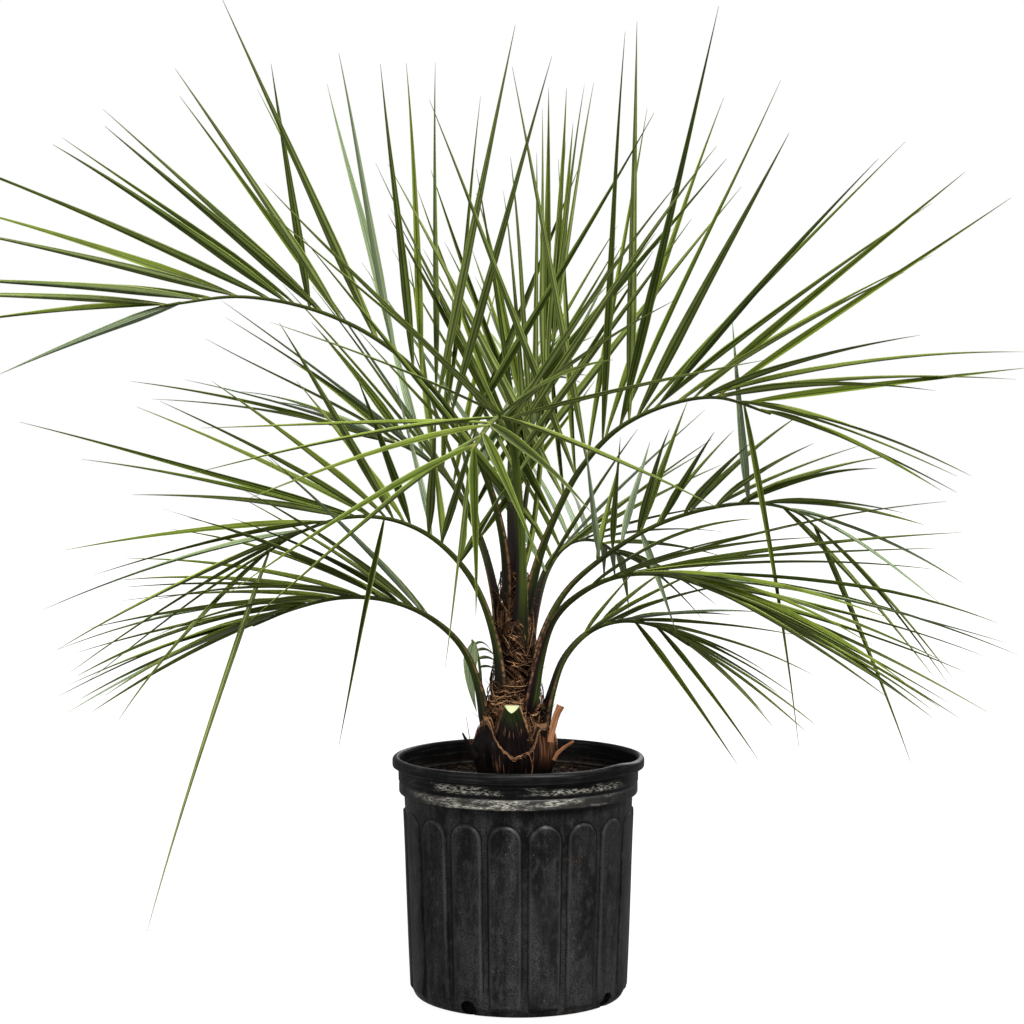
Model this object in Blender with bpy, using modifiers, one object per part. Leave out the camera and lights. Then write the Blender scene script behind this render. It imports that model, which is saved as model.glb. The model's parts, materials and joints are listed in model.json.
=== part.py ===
"""Pindo palm in a ribbed nursery pot.

The pot stands on the origin, its rim is level, and the viewer of the leaf plan looks along +Y.
Units are metres and +Z is up. Every piece is one closed solid in the collection "potted_pindo_palm".
"""

import math

import bmesh
import bpy
import numpy as np
from mathutils import Vector

OBJECT_NAME = "potted_pindo_palm"
SEED = 11
GAP = 0.0003
UP = np.array([0.0, 0.0, 1.0])

# Pot: a blow-moulded nursery pot with a rolled lip, two bands and raised arched panels
POT_HEIGHT = 0.2480
LIP_RADIUS = 0.1300
LIP_BOTTOM = 0.2374
NECK_RADIUS = 0.1239
GROOVE_HEIGHT = 0.2218
BAND_BOTTOM = 0.2100
WALL_TOP_RADIUS = 0.1182
WALL_FOOT_RADIUS = 0.1103
FOOT_HEIGHT = 0.0080
BASE_RADIUS = 0.1000
BAND_STEP = 0.0005
GROOVE_DEPTH = 0.0012
LIP_ROUND = 0.0022
LIP_CREST = 0.0055
WALL = 0.0020
FLOOR = 0.0028
INNER_CORNER = 0.0040
POT_STEPS = 36
PANELS = 18
PANEL_WIDTH = 0.0330
PANEL_RELIEF = 0.0020
PANEL_TOP = 0.1939
PANEL_FOOT = 0.0090
PANEL_ROOT = 0.0010
PANEL_COLUMNS = (-1.0, -0.8, 0.0, 0.8, 1.0)
FIRST_PANEL = math.radians(-6.95)
DRAIN_PANELS = (-1, 3, 8, 12)
DRAIN_RADIUS = 0.0085
DRAIN_HEIGHT = 0.0085
DRAIN_LENGTH = 0.0260

# Soil and stem
SOIL_EDGE = 0.2195
SOIL_CROWN = 0.2250
STEM_X = -0.0035
STEM_STEPS = 18
STEM_CROWN = 0.0030
STEM_PROFILE = (
    (0.0260, 0.1540), (0.0310, 0.1890), (0.0345, 0.2250), (0.0378, 0.2500), (0.0355, 0.2790),
    (0.0285, 0.3090), (0.0222, 0.3390), (0.0188, 0.3740), (0.0165, 0.4090), (0.0130, 0.4370),
)

# Height and radius that leaflets keep clear of, round the stem and its old leaf bases
STEM_KEEP_OUT = ((0.204, 0.060), (0.304, 0.038), (0.344, 0.025), (0.440, 0.015))

# Leaflets: a folded blade, its half width at shares of its length, and its keel's thickness.
# One that sags less than STRAIGHT_SAG needs one section fewer.
LEAFLET_SHARES = (0.0, 0.30, 0.68, 1.0)
LEAFLET_HALF_WIDTHS = (0.0018, 0.0047, 0.0037, 0.0004)
STRAIGHT_SHARES = (0.0, 0.38, 1.0)
STRAIGHT_HALF_WIDTHS = (0.0018, 0.0047, 0.0004)
STRAIGHT_SAG = 0.010
LEAFLET_KEEL = 0.0015
FOLD = math.radians(58)
SHORT_LEAFLET = 0.11
SHORT_NARROWING = 0.6
CLEARANCE = 0.0006
SWING_STEP = math.radians(1.1)
SWINGS = 90
GOLDEN_TURN = math.radians(137.5)
WAY_POINTS = 97
CURVE_STEPS = 24
ROD_SPACING = 4
LAST_PAIR = 0.985
PAIR_STRAGGLE = 0.3
SWEEP_SPREAD = 2.5
LIFT_SPREAD = 6.0
LENGTH_RANGE = (0.85, 1.10)
DROOP_RANGE = (0.6, 1.4)
RACHIS_RINGS = 12
STALK_BREADTH = 1.20
STALK_DEPTH = 0.95
SOCKET_GAP = 1.25 * GAP

# Spear: the unopened young leaf, its way and its sections
SPEAR_WAY = ((0.002, -0.006, 0.428), (0.0135, -0.004, 0.474), (0.021, -0.002, 0.534),
             (0.026, 0.000, 0.604), (0.028, 0.002, 0.676))
SPEAR_SHARES = (0.0, 0.18, 0.45, 0.75, 1.0)
SPEAR_HALF_WIDTHS = (0.0030, 0.0050, 0.0058, 0.0045, 0.0006)
SPEAR_HALF_DEPTHS = (0.0028, 0.0026, 0.0022, 0.0018, 0.0006)

# Old leaf bases: bearing round the stem in degrees, turning from the viewer to the viewer's right, then
# the heights of foot and cut top, half widths, half thicknesses and how far the top stands off the stem.
BOOTS = {
    "boot_front": (-5, (0.242, 0.303), (0.025, 0.0078), (0.0062, 0.0052), 0.0075),
    "boot_left": (-50, (0.232, 0.290), (0.021, 0.0055), (0.0064, 0.0042), 0.0060),
    "boot_right": (45, (0.230, 0.283), (0.022, 0.0080), (0.0066, 0.0046), 0.0065),
    "boot_back_left": (-135, (0.232, 0.286), (0.021, 0.0095), (0.0066, 0.0052), 0.0060),
    "boot_back": (172, (0.240, 0.300), (0.021, 0.0090), (0.0066, 0.0052), 0.0065),
    "boot_back_right": (112, (0.232, 0.274), (0.019, 0.0095), (0.0064, 0.0050), 0.0060),
}
BOOT_RINGS = 5
BOOT_SIDES = 8
BOOT_FLARE = 1.3

# Fronds: the way from the seat in the stem to the tip of the midrib, and how its leaflets stand.
# start: share of the way where the leaflets begin.  pairs: leaflets on each side.
# The rest is given at the first, middle and last pair.  sweep: angle from the midrib, in degrees.
# lift: angle of the two rows above the plane of the blade.  reach: length.  droop: sag as a share of length.
# strays: single leaflets that leave the rows, as (share of the way, tip, droop).
FRONDS = {
    "frond_high_left": dict(
        way=((-0.010, -0.005, 0.384), (-0.013, -0.012, 0.459), (-0.030, -0.022, 0.529), (-0.062, -0.034, 0.594),
             (-0.120, -0.048, 0.659), (-0.190, -0.060, 0.699), (-0.272, -0.072, 0.716), (-0.350, -0.082, 0.707)),
        radius=(0.0050, 0.0018), start=0.31, pairs=14, sweep=(62, 34, 12), lift=(68, 66, 62),
        reach=(0.36, 0.34, 0.27), droop=(0.01, 0.02, 0.05),
        strays=((0.97, (-0.510, -0.090, 0.639), 0.05), (0.74, (-0.240, -0.120, 0.940), 0.01))),
    "frond_high_right": dict(
        way=((0.003, -0.006, 0.379), (0.018, -0.013, 0.444), (0.036, -0.024, 0.494), (0.062, -0.038, 0.544),
             (0.098, -0.055, 0.584), (0.145, -0.075, 0.608), (0.195, -0.098, 0.616), (0.245, -0.120, 0.600)),
        radius=(0.0050, 0.0018), start=0.25, pairs=14, sweep=(60, 36, 14), lift=(66, 62, 24),
        reach=(0.38, 0.41, 0.21), droop=(0.01, 0.02, 0.18),
        strays=((0.93, (0.256, -0.136, 0.352), 0.30), (0.62, (0.104, -0.120, 0.979), 0.0),
                (0.93, (0.492, -0.130, 0.644), 0.02), (0.80, (0.432, -0.130, 0.834), 0.01),
                (0.86, (0.478, -0.130, 0.810), 0.02))),
    "frond_front": dict(
        way=((0.000, -0.018, 0.349), (0.003, -0.028, 0.424), (0.001, -0.036, 0.494), (-0.004, -0.060, 0.559),
             (-0.012, -0.110, 0.594), (-0.026, -0.165, 0.592), (-0.045, -0.215, 0.564)),
        radius=(0.0052, 0.0018), start=0.48, pairs=9, sweep=(50, 40, 26), lift=(44, 26, 6),
        reach=(0.36, 0.34, 0.27), droop=(0.02, 0.06, 0.14),
        strays=((0.78, (0.184, -0.180, 0.512), 0.06), (0.70, (0.241, -0.150, 0.652), 0.04),
                (0.86, (-0.300, -0.190, 0.586), 0.03), (0.97, (-0.066, -0.235, 0.382), 0.10))),
    "frond_mid_left": dict(
        way=((-0.015, -0.018, 0.304), (-0.023, -0.026, 0.369), (-0.045, -0.036, 0.429), (-0.082, -0.048, 0.472),
             (-0.125, -0.062, 0.494), (-0.172, -0.076, 0.497), (-0.218, -0.090, 0.482), (-0.250, -0.100, 0.462)),
        radius=(0.0052, 0.0017), start=0.42, pairs=11, sweep=(66, 36, 18), lift=(58, 50, 0),
        reach=(0.12, 0.27, 0.23), droop=(0.03, 0.06, 0.12),
        strays=((0.985, (-0.352, -0.130, 0.126), 0.10), (0.66, (-0.172, -0.120, 0.294), 0.10),
                (0.74, (-0.490, -0.110, 0.592), 0.02))),
    "frond_low_left": dict(
        way=((-0.030, -0.004, 0.266), (-0.040, -0.006, 0.319), (-0.058, -0.012, 0.362), (-0.092, -0.024, 0.394),
             (-0.135, -0.038, 0.412), (-0.180, -0.052, 0.415), (-0.225, -0.066, 0.405), (-0.265, -0.078, 0.389)),
        radius=(0.0056, 0.0017), start=0.46, pairs=12, sweep=(30, 24, 16), lift=(34, 40, 18),
        reach=(0.24, 0.25, 0.21), droop=(0.08, 0.14, 0.16), strays=()),
    "frond_back_left": dict(
        way=((-0.017, 0.010, 0.339), (-0.024, 0.022, 0.409), (-0.042, 0.045, 0.474), (-0.075, 0.078, 0.532),
             (-0.120, 0.118, 0.564), (-0.170, 0.160, 0.576)),
        radius=(0.0048, 0.0017), start=0.40, pairs=11, sweep=(58, 34, 16), lift=(45, 38, 26),
        reach=(0.24, 0.31, 0.29), droop=(0.03, 0.05, 0.10), strays=()),
    "frond_mid_right": dict(
        way=((0.012, -0.010, 0.314), (0.024, -0.012, 0.372), (0.048, -0.018, 0.419), (0.088, -0.028, 0.456),
             (0.135, -0.040, 0.486), (0.185, -0.054, 0.504), (0.235, -0.068, 0.511), (0.275, -0.080, 0.503),
             (0.300, -0.088, 0.482)),
        radius=(0.0050, 0.0017), start=0.38, pairs=10, sweep=(58, 40, 20), lift=(52, 40, 6),
        reach=(0.14, 0.17, 0.20), droop=(0.03, 0.10, 0.22),
        strays=((0.80, (0.208, -0.060, 0.694), 0.0), (0.97, (0.372, -0.105, 0.286), 0.16),
                (0.88, (0.395, -0.095, 0.354), 0.14), (0.52, (0.155, -0.060, 0.389), 0.10))),
    "frond_low_right": dict(
        way=((0.010, -0.024, 0.289), (0.021, -0.034, 0.349), (0.036, -0.050, 0.394), (0.066, -0.072, 0.424),
             (0.104, -0.096, 0.441), (0.148, -0.122, 0.442), (0.192, -0.148, 0.428), (0.225, -0.166, 0.412)),
        radius=(0.0052, 0.0017), start=0.49, pairs=12, sweep=(24, 20, 14), lift=(-6, 14, 18),
        reach=(0.34, 0.31, 0.22), droop=(0.14, 0.14, 0.10), strays=()),
    "frond_lowest_right": dict(
        way=((0.022, 0.002, 0.266), (0.034, 0.004, 0.314), (0.048, 0.010, 0.349), (0.075, 0.020, 0.375),
             (0.110, 0.032, 0.384), (0.148, 0.044, 0.376), (0.180, 0.054, 0.356)),
        radius=(0.0056, 0.0016), start=0.50, pairs=8, sweep=(34, 24, 16), lift=(20, 14, 6),
        reach=(0.15, 0.19, 0.15), droop=(0.06, 0.14, 0.16),
        strays=((0.72, (0.222, 0.030, 0.242), 0.08), (0.82, (0.243, 0.036, 0.247), 0.10))),
    "frond_back_right": dict(
        way=((0.006, 0.018, 0.324), (0.015, 0.036, 0.384), (0.030, 0.070, 0.434), (0.054, 0.125, 0.459),
             (0.086, 0.190, 0.459), (0.115, 0.250, 0.439)),
        radius=(0.0048, 0.0016), start=0.38, pairs=10, sweep=(58, 36, 17), lift=(50, 36, 22),
        reach=(0.20, 0.24, 0.19), droop=(0.03, 0.10, 0.20), strays=()),
    "frond_back": dict(
        way=((-0.004, 0.010, 0.384), (-0.006, 0.026, 0.449), (-0.008, 0.062, 0.529), (-0.004, 0.120, 0.594),
             (0.004, 0.190, 0.629), (0.012, 0.255, 0.632)),
        radius=(0.0046, 0.0017), start=0.32, pairs=12, sweep=(58, 38, 18), lift=(54, 46, 40),
        reach=(0.27, 0.29, 0.22), droop=(0.02, 0.06, 0.12), strays=()),
    "frond_young": dict(
        way=((-0.002, 0.004, 0.416), (0.005, 0.009, 0.494), (0.017, 0.014, 0.574), (0.030, 0.018, 0.644),
             (0.042, 0.022, 0.704)),
        radius=(0.0036, 0.0014), start=0.36, pairs=8, sweep=(30, 18, 8), lift=(58, 54, 50),
        reach=(0.32, 0.30, 0.24), droop=(0.0, 0.01, 0.02), strays=()),
    "frond_small": dict(
        way=((-0.033, 0.018, 0.266), (-0.038, 0.030, 0.304), (-0.040, 0.034, 0.334), (-0.044, 0.032, 0.356),
             (-0.048, 0.020, 0.364)),
        radius=(0.0032, 0.0014), start=0.60, pairs=0,
        strays=((0.66, (-0.021, 0.036, 0.331), 0.50), (0.74, (-0.020, 0.034, 0.340), 0.60),
                (0.82, (-0.021, 0.030, 0.347), 0.80), (0.90, (-0.023, 0.025, 0.352), 1.00),
                (0.97, (-0.044, 0.016, 0.301), 0.05))),
}


def unit(vector):
    return vector / np.linalg.norm(vector)


def blend(pair, share):
    return pair[0] + (pair[1] - pair[0]) * share


def smooth_way(points, count):
    """A smooth line through the points (Catmull-Rom), at count places evenly spaced along its length."""
    p = np.array(points, float)
    p = np.vstack([2 * p[0] - p[1], p, 2 * p[-1] - p[-2]])
    fine = []
    for a, b, c, d in zip(p, p[1:], p[2:], p[3:]):
        for u in np.linspace(0, 1, CURVE_STEPS, endpoint=False):
            cubic = (d - a + 3 * (b - c)) * u**3 + (2 * a - 5 * b + 4 * c - d) * u**2
            fine.append(b + 0.5 * ((c - a) * u + cubic))
    fine = np.array(fine + [p[-2]])
    run = np.append(0, np.cumsum(np.linalg.norm(np.diff(fine, axis=0), axis=1)))
    at = np.linspace(0, run[-1], count)
    return np.column_stack([np.interp(at, run, fine[:, axis]) for axis in range(3)])


def frame_at(way, share):
    """Place, direction, side and upper face of the midrib at a share of its way."""
    at = share * (len(way) - 1)
    low = min(int(at), len(way) - 2)
    place = blend((way[low], way[low + 1]), at - low)
    along = unit(way[min(low + 2, len(way) - 1)] - way[max(low - 1, 0)])
    outward = (way[-1] - way[0]) * (1, 1, 0)
    side = np.cross(UP, unit(outward))
    side = unit(side - along * side.dot(along))
    return place, along, side, np.cross(along, side)


def bent(root, direction, length, droop, shares):
    """The leaflet's line: straight at its root, sagging with the square of the way along it."""
    s = np.array(shares, float)[:, None]
    return root + length * (s * direction - droop * s**2 * UP)


def planned_leaflets(plan, way, rng):
    """(root, along, direction, length, droop) of every leaflet, before they are swung clear of each other."""
    last = plan["pairs"] - 1
    for pair in range(plan["pairs"]):
        share = pair / last
        pitch = (LAST_PAIR - plan["start"]) / last
        for row in (-1, 1):
            at = plan["start"] + pitch * (pair + rng.uniform(-PAIR_STRAGGLE, PAIR_STRAGGLE))
            place, along, side, face = frame_at(way, min(at, 1.0))
            here = {key: np.interp(share, (0, 0.5, 1), plan[key]) for key in ("sweep", "lift", "reach", "droop")}
            sweep = math.radians(here["sweep"] + rng.normal(0, SWEEP_SPREAD))
            lift = math.radians(here["lift"] + rng.normal(0, LIFT_SPREAD))
            spread = row * math.cos(lift) * side + math.sin(lift) * face
            direction = unit(math.cos(sweep) * along + math.sin(sweep) * spread)
            length = here["reach"] * rng.uniform(*LENGTH_RANGE)
            yield place, along, direction, length, here["droop"] * rng.uniform(*DROOP_RANGE)
    for at, tip, droop in plan["strays"]:
        place, along, _, _ = frame_at(way, at)
        reach = np.array(tip) - place
        length = np.linalg.norm(reach)
        yield place, along, unit(reach + UP * droop * length), length, droop


class Obstacles:
    """Round-ended rods that new leaflets have to miss."""

    def __init__(self):
        self.start = np.empty((0, 3))
        self.end = np.empty((0, 3))
        self.radii = np.empty((0, 2))
        self.owner = np.empty(0, int)

    def add(self, line, radii, owner):
        self.start = np.vstack([self.start, line[:-1]])
        self.end = np.vstack([self.end, line[1:]])
        self.radii = np.vstack([self.radii, np.column_stack([radii[:-1], radii[1:]])])
        self.owner = np.append(self.owner, np.full(len(line) - 1, owner))

    def least_gap(self, line, radii, owner):
        """Least gap from a line of rods to those of other owners. Its own frond's rods are joined to it."""
        others = self.owner != owner
        least = 1.0
        for a, b, thick_a, thick_b in zip(line, line[1:], radii, radii[1:]):
            gaps = rod_gaps(a, b, (thick_a, thick_b), self.start[others], self.end[others], self.radii[others])
            least = min(least, gaps.min(initial=1.0))
        return least


def rod_gaps(a, b, thick, starts, ends, radii):
    """Gap between one tapered rod and each of many."""
    u = b - a
    v = ends - starts
    r = a - starts
    uu, uv, vv = u.dot(u), v @ u, (v * v).sum(1)
    ur, vr = r @ u, (v * r).sum(1)
    slope = np.maximum(uu * vv - uv**2, 1e-12)
    s = np.clip((uv * vr - ur * vv) / slope, 0, 1)
    t = np.clip((uv * s + vr) / vv, 0, 1)
    s = np.clip((uv * t - ur) / uu, 0, 1)
    apart = np.linalg.norm(r + s[:, None] * u - t[:, None] * v, axis=1)
    return apart - blend(thick, s) - blend((radii[:, 0], radii[:, 1]), t)


def swung_clear(place, direction, length, droop, obstacles, owner):
    """The leaflet's direction, swung in widening turns until its line misses every other frond, or None."""
    side = unit(np.cross(direction, UP))
    other = np.cross(direction, side)
    for swing in range(SWINGS):
        angle = SWING_STEP * math.sqrt(swing)
        turn = GOLDEN_TURN * swing
        trial = unit(direction + math.tan(angle) * (math.cos(turn) * side + math.sin(turn) * other))
        line = bent(place, trial, length, droop, LEAFLET_SHARES)
        if obstacles.least_gap(line, np.array(LEAFLET_HALF_WIDTHS), owner) > CLEARANCE:
            return trial
    return None


def frond_layout():
    """For each frond its midrib's line and its leaflets, each as (root, along, direction, length, droop)."""
    rng = np.random.default_rng(SEED)
    ways = {name: smooth_way(plan["way"], WAY_POINTS) for name, plan in FRONDS.items()}
    obstacles = Obstacles()
    axis = np.array([(STEM_X, 0, height) for height, _ in STEM_KEEP_OUT])
    obstacles.add(axis, np.array([radius for _, radius in STEM_KEEP_OUT]), -1)
    spear = smooth_way(SPEAR_WAY, WAY_POINTS)[::2 * ROD_SPACING]
    obstacles.add(spear, np.interp(np.linspace(0, 1, len(spear)), SPEAR_SHARES, SPEAR_HALF_WIDTHS), -1)
    for owner, (name, plan) in enumerate(FRONDS.items()):
        rods = ways[name][::ROD_SPACING]
        obstacles.add(rods, np.linspace(*plan["radius"], len(rods)) + GAP, owner)
    layout = {}
    for owner, (name, plan) in enumerate(FRONDS.items()):
        leaflets = []
        for place, along, direction, length, droop in planned_leaflets(plan, ways[name], rng):
            direction = swung_clear(place, direction, length, droop, obstacles, owner)
            if direction is None:
                continue
            line = bent(place, direction, length, droop, LEAFLET_SHARES)
            obstacles.add(line, np.array(LEAFLET_HALF_WIDTHS), owner)
            leaflets.append((place, along, direction, length, droop))
        layout[name] = (ways[name], leaflets)
    return layout


def cleared_collection(name):
    collection = bpy.data.collections.new(name)
    bpy.context.scene.collection.children.link(collection)
    return collection


def finish(name, colour, roughness):
    """A Principled material of one colour, metallic 0."""
    material = bpy.data.materials.new(name)
    material.use_nodes = True
    shader = material.node_tree.nodes["Principled BSDF"]
    shader.inputs["Base Color"].default_value = (*colour, 1)
    shader.inputs["Roughness"].default_value = roughness
    shader.inputs["Metallic"].default_value = 0
    material.diffuse_color = (*colour, 1)
    return material


def placed(name, mesh, collection, material=None, smooth_below=40):
    """An object of the mesh, shaded smooth except at edges sharper than the angle."""
    mesh.shade_smooth()
    mesh.set_sharp_from_angle(angle=math.radians(smooth_below))
    if material:
        mesh.materials.append(material)
    made = bpy.data.objects.new(name, mesh)
    collection.objects.link(made)
    return made


def as_cutter(thing):
    thing.hide_render = True
    thing.display_type = "WIRE"
    return thing


def cut(thing, cutters):
    """Takes each cutter out of the piece."""
    for cutter in cutters:
        modifier = thing.modifiers.new("cut by " + cutter.name, "BOOLEAN")
        modifier.operation = "DIFFERENCE"
        modifier.object = cutter


def turned_piece(name, profile, steps, collection, material=None, centre_x=0.0):
    """A solid turned from (radius, height) points that run down its outer side."""
    bm = bmesh.new()
    points = [bm.verts.new((radius, 0, height)) for radius, height in profile]
    for a, b in zip(points, points[1:]):
        bm.edges.new((a, b))
    mesh = bpy.data.meshes.new(name)
    bm.to_mesh(mesh)
    bm.free()
    thing = placed(name, mesh, collection, material)
    thing.location.x = centre_x
    screw = thing.modifiers.new("turn", "SCREW")
    screw.steps = screw.render_steps = steps
    screw.use_merge_vertices = True
    screw.merge_threshold = 0.0001
    screw.use_smooth_shade = True
    return thing


def lofted(name, rings, collection, material=None, alike=False):
    """A closed solid through rings of points, the last of which may be a single point.

    With alike, both faces of a folded blade are split into triangles the same way.
    """
    bm = bmesh.new()
    rows = [[bm.verts.new(point) for point in points] for points in rings]
    count = len(rows[0])
    for low, high in zip(rows, rows[1:]):
        for i in range(count):
            j = (i + 1) % count
            if len(high) == 1:
                bm.faces.new((low[i], low[j], high[0]))
            elif not alike:
                bm.faces.new((low[i], low[j], high[j], high[i]))
            elif i < count // 2:
                bm.faces.new((low[i], low[j], high[j]))
                bm.faces.new((low[i], high[j], high[i]))
            else:
                bm.faces.new((low[i], low[j], high[i]))
                bm.faces.new((low[j], high[j], high[i]))
    bm.faces.new(rows[0][::-1])
    if len(rows[-1]) > 1:
        bm.faces.new(rows[-1])
    bmesh.ops.recalc_face_normals(bm, faces=bm.faces[:])
    mesh = bpy.data.meshes.new(name)
    bm.to_mesh(mesh)
    bm.free()
    return placed(name, mesh, collection, material)


def ring(place, side, face, half_width, half_height, sides):
    """Points of a section that is flat on its upper and lower face."""
    turns = [math.tau * i / sides for i in range(sides)]
    return [place + side * half_width * math.cos(turn) + face * half_height * math.sin(turn) for turn in turns]


def stalk_rings(way, shares, half_widths, half_heights, sides=6, grow=0.0):
    """Sections along a way, each grown outwards by the same amount."""
    rings = []
    for share, half_width, half_height in zip(shares, half_widths, half_heights):
        place, along, side, face = frame_at(way, share)
        place = place - along * grow * (share == shares[0])
        rings.append(ring(place, side, face, half_width + grow, half_height + grow, sides))
    return rings


def leaflet_rings(place, along, direction, length, droop):
    """Folded sections of a leaflet: near edge, keel, far edge and valley, open upwards."""
    shares, half_widths = LEAFLET_SHARES, LEAFLET_HALF_WIDTHS
    if droop * length < STRAIGHT_SAG:
        shares, half_widths = STRAIGHT_SHARES, STRAIGHT_HALF_WIDTHS
    line = bent(place, direction, length, droop, shares)
    slimness = min(1.0, length / SHORT_LEAFLET) ** SHORT_NARROWING
    rings = []
    for share, point, full_width in zip(shares, line, half_widths):
        half_width = full_width * slimness
        tangent = unit(direction - 2 * droop * share * UP)
        width = unit(along - tangent * along.dot(tangent))
        open_side = np.cross(width, tangent)
        open_side = open_side * math.copysign(1, open_side[2])
        rise = half_width * math.cos(FOLD)
        keel = min(LEAFLET_KEEL, half_width * 1.6) / 2
        rings.append([
            point - width * half_width * math.sin(FOLD) + open_side * rise,
            point - open_side * keel,
            point + width * half_width * math.sin(FOLD) + open_side * rise,
            point + open_side * keel,
        ])
    return [*rings[:-1], [line[-1]]]


def fused(body, grown):
    """One solid from a body and the pieces of the collection that grow from it, which are then removed."""
    modifier = body.modifiers.new("grown", "BOOLEAN")
    modifier.operation = "UNION"
    modifier.operand_type = "COLLECTION"
    modifier.collection = grown
    modifier.solver = "MANIFOLD"
    bpy.context.view_layer.update()
    joined = bpy.data.meshes.new_from_object(body.evaluated_get(bpy.context.evaluated_depsgraph_get()))
    body.modifiers.clear()
    body.data = joined
    for piece in list(grown.objects):
        bpy.data.objects.remove(piece)
    bpy.data.collections.remove(grown)


def make_frond(name, way, leaflets, collection, material):
    """A stalk and midrib with its leaflets sunk into it."""
    shares = np.linspace(0, 1, RACHIS_RINGS)
    radii = np.linspace(*FRONDS[name]["radius"], RACHIS_RINGS)
    rings = stalk_rings(way, shares, STALK_BREADTH * radii, STALK_DEPTH * radii)
    stalk = lofted(name, rings, collection, material)
    grown = cleared_collection(name + "_leaflets")
    for number, leaflet in enumerate(leaflets):
        lofted(f"{name}_leaflet_{number}", leaflet_rings(*leaflet), grown, alike=True)
    fused(stalk, grown)
    stalk.data.set_sharp_from_angle(angle=math.radians(40))
    return stalk


def socket_cutter(name, way, collection):
    """The foot of a frond's stalk, grown by the gap, which cuts its socket."""
    rings = RACHIS_RINGS // 2
    shares = np.linspace(0, 1, RACHIS_RINGS)[:rings]
    radii = np.linspace(*FRONDS[name]["radius"], RACHIS_RINGS)[:rings]
    sections = stalk_rings(way, shares, STALK_BREADTH * radii, STALK_DEPTH * radii, grow=SOCKET_GAP)
    return as_cutter(lofted("socket_" + name, sections, collection))


def pot_profile():
    """From the middle of the floor up the inside, over the lip and down to the middle of the base."""
    inner_foot = WALL_FOOT_RADIUS - WALL
    lower_band = NECK_RADIUS - BAND_STEP
    inside = (
        (0.0, FLOOR), (inner_foot - INNER_CORNER, FLOOR), (inner_foot, FLOOR + INNER_CORNER),
        (WALL_TOP_RADIUS - WALL, BAND_BOTTOM - WALL), (NECK_RADIUS - WALL, BAND_BOTTOM + WALL / 2),
        (NECK_RADIUS - WALL + BAND_STEP, POT_HEIGHT - LIP_ROUND / 2),
    )
    lip = (
        (LIP_RADIUS - LIP_CREST, POT_HEIGHT), (LIP_RADIUS - 0.7 * LIP_ROUND, POT_HEIGHT - 0.2 * LIP_ROUND),
        (LIP_RADIUS, POT_HEIGHT - LIP_ROUND), (LIP_RADIUS, LIP_BOTTOM),
    )
    bands = (
        (NECK_RADIUS, LIP_BOTTOM - BAND_STEP), (NECK_RADIUS, GROOVE_HEIGHT + GROOVE_DEPTH / 2),
        (NECK_RADIUS - GROOVE_DEPTH, GROOVE_HEIGHT), (lower_band, GROOVE_HEIGHT - GROOVE_DEPTH),
        (lower_band, BAND_BOTTOM), (WALL_TOP_RADIUS, BAND_BOTTOM - 2 * BAND_STEP),
    )
    foot = (
        (WALL_FOOT_RADIUS, FOOT_HEIGHT), (WALL_FOOT_RADIUS - 0.4 * FOOT_HEIGHT, 0.25 * FOOT_HEIGHT),
        (BASE_RADIUS, 0.0), (0.0, 0.0),
    )
    return (*inside, *lip, *bands, *foot)


def wall_radius(height):
    return np.interp(height, (FOOT_HEIGHT, BAND_BOTTOM), (WALL_FOOT_RADIUS, WALL_TOP_RADIUS))


def panel_rings(turn):
    """Upright sections across one raised panel: its foot and its arched top, inside and on the face."""
    half = PANEL_WIDTH / 2
    rings = []
    for across in PANEL_COLUMNS:
        angle = turn + across * half / WALL_TOP_RADIUS
        top = PANEL_TOP - half + half * math.sqrt(1 - across**2)
        relief = PANEL_RELIEF if abs(across) < 1 else 0.4 * PANEL_RELIEF
        section = []
        for height, out in ((PANEL_FOOT, -PANEL_ROOT), (top, -PANEL_ROOT), (top, relief), (PANEL_FOOT, relief)):
            radius = wall_radius(height) + out
            section.append((radius * math.sin(angle), -radius * math.cos(angle), height))
        rings.append(section)
    return rings


def make_pot(collection, cutters, material):
    pot = turned_piece("pot", pot_profile(), POT_STEPS, collection, material)
    panels = cleared_collection("panels")
    for number in range(PANELS):
        lofted(f"panel_{number}", panel_rings(FIRST_PANEL + math.tau * number / PANELS), panels)
    fused(pot, panels)
    drains = []
    for panel in DRAIN_PANELS:
        angle = FIRST_PANEL + math.tau * panel / PANELS
        outward = Vector((math.sin(angle), -math.cos(angle), 0))
        mesh = bpy.data.meshes.new(f"drain_{panel}")
        bm = bmesh.new()
        size = dict(segments=12, radius1=DRAIN_RADIUS, radius2=DRAIN_RADIUS, depth=DRAIN_LENGTH)
        bmesh.ops.create_cone(bm, cap_ends=True, **size)
        bm.to_mesh(mesh)
        bm.free()
        drain = as_cutter(placed(mesh.name, mesh, cutters))
        drain.rotation_euler = outward.to_track_quat("Z", "Y").to_euler()
        drain.location = outward * WALL_FOOT_RADIUS + Vector((0, 0, DRAIN_HEIGHT))
        drains.append(drain)
    cut(pot, drains)
    return pot


def stem_radius(height):
    return float(np.interp(height, [z for _, z in STEM_PROFILE], [r for r, _ in STEM_PROFILE]))


def stem_profile(grow=0.0):
    """The stem's outline from its top to its foot in the soil."""
    side = [(radius + grow, height) for radius, height in STEM_PROFILE[::-1]]
    top = (0.0, STEM_PROFILE[-1][1] + STEM_CROWN + grow)
    return (top, *side, (0.0, STEM_PROFILE[0][1] - grow))


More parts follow.
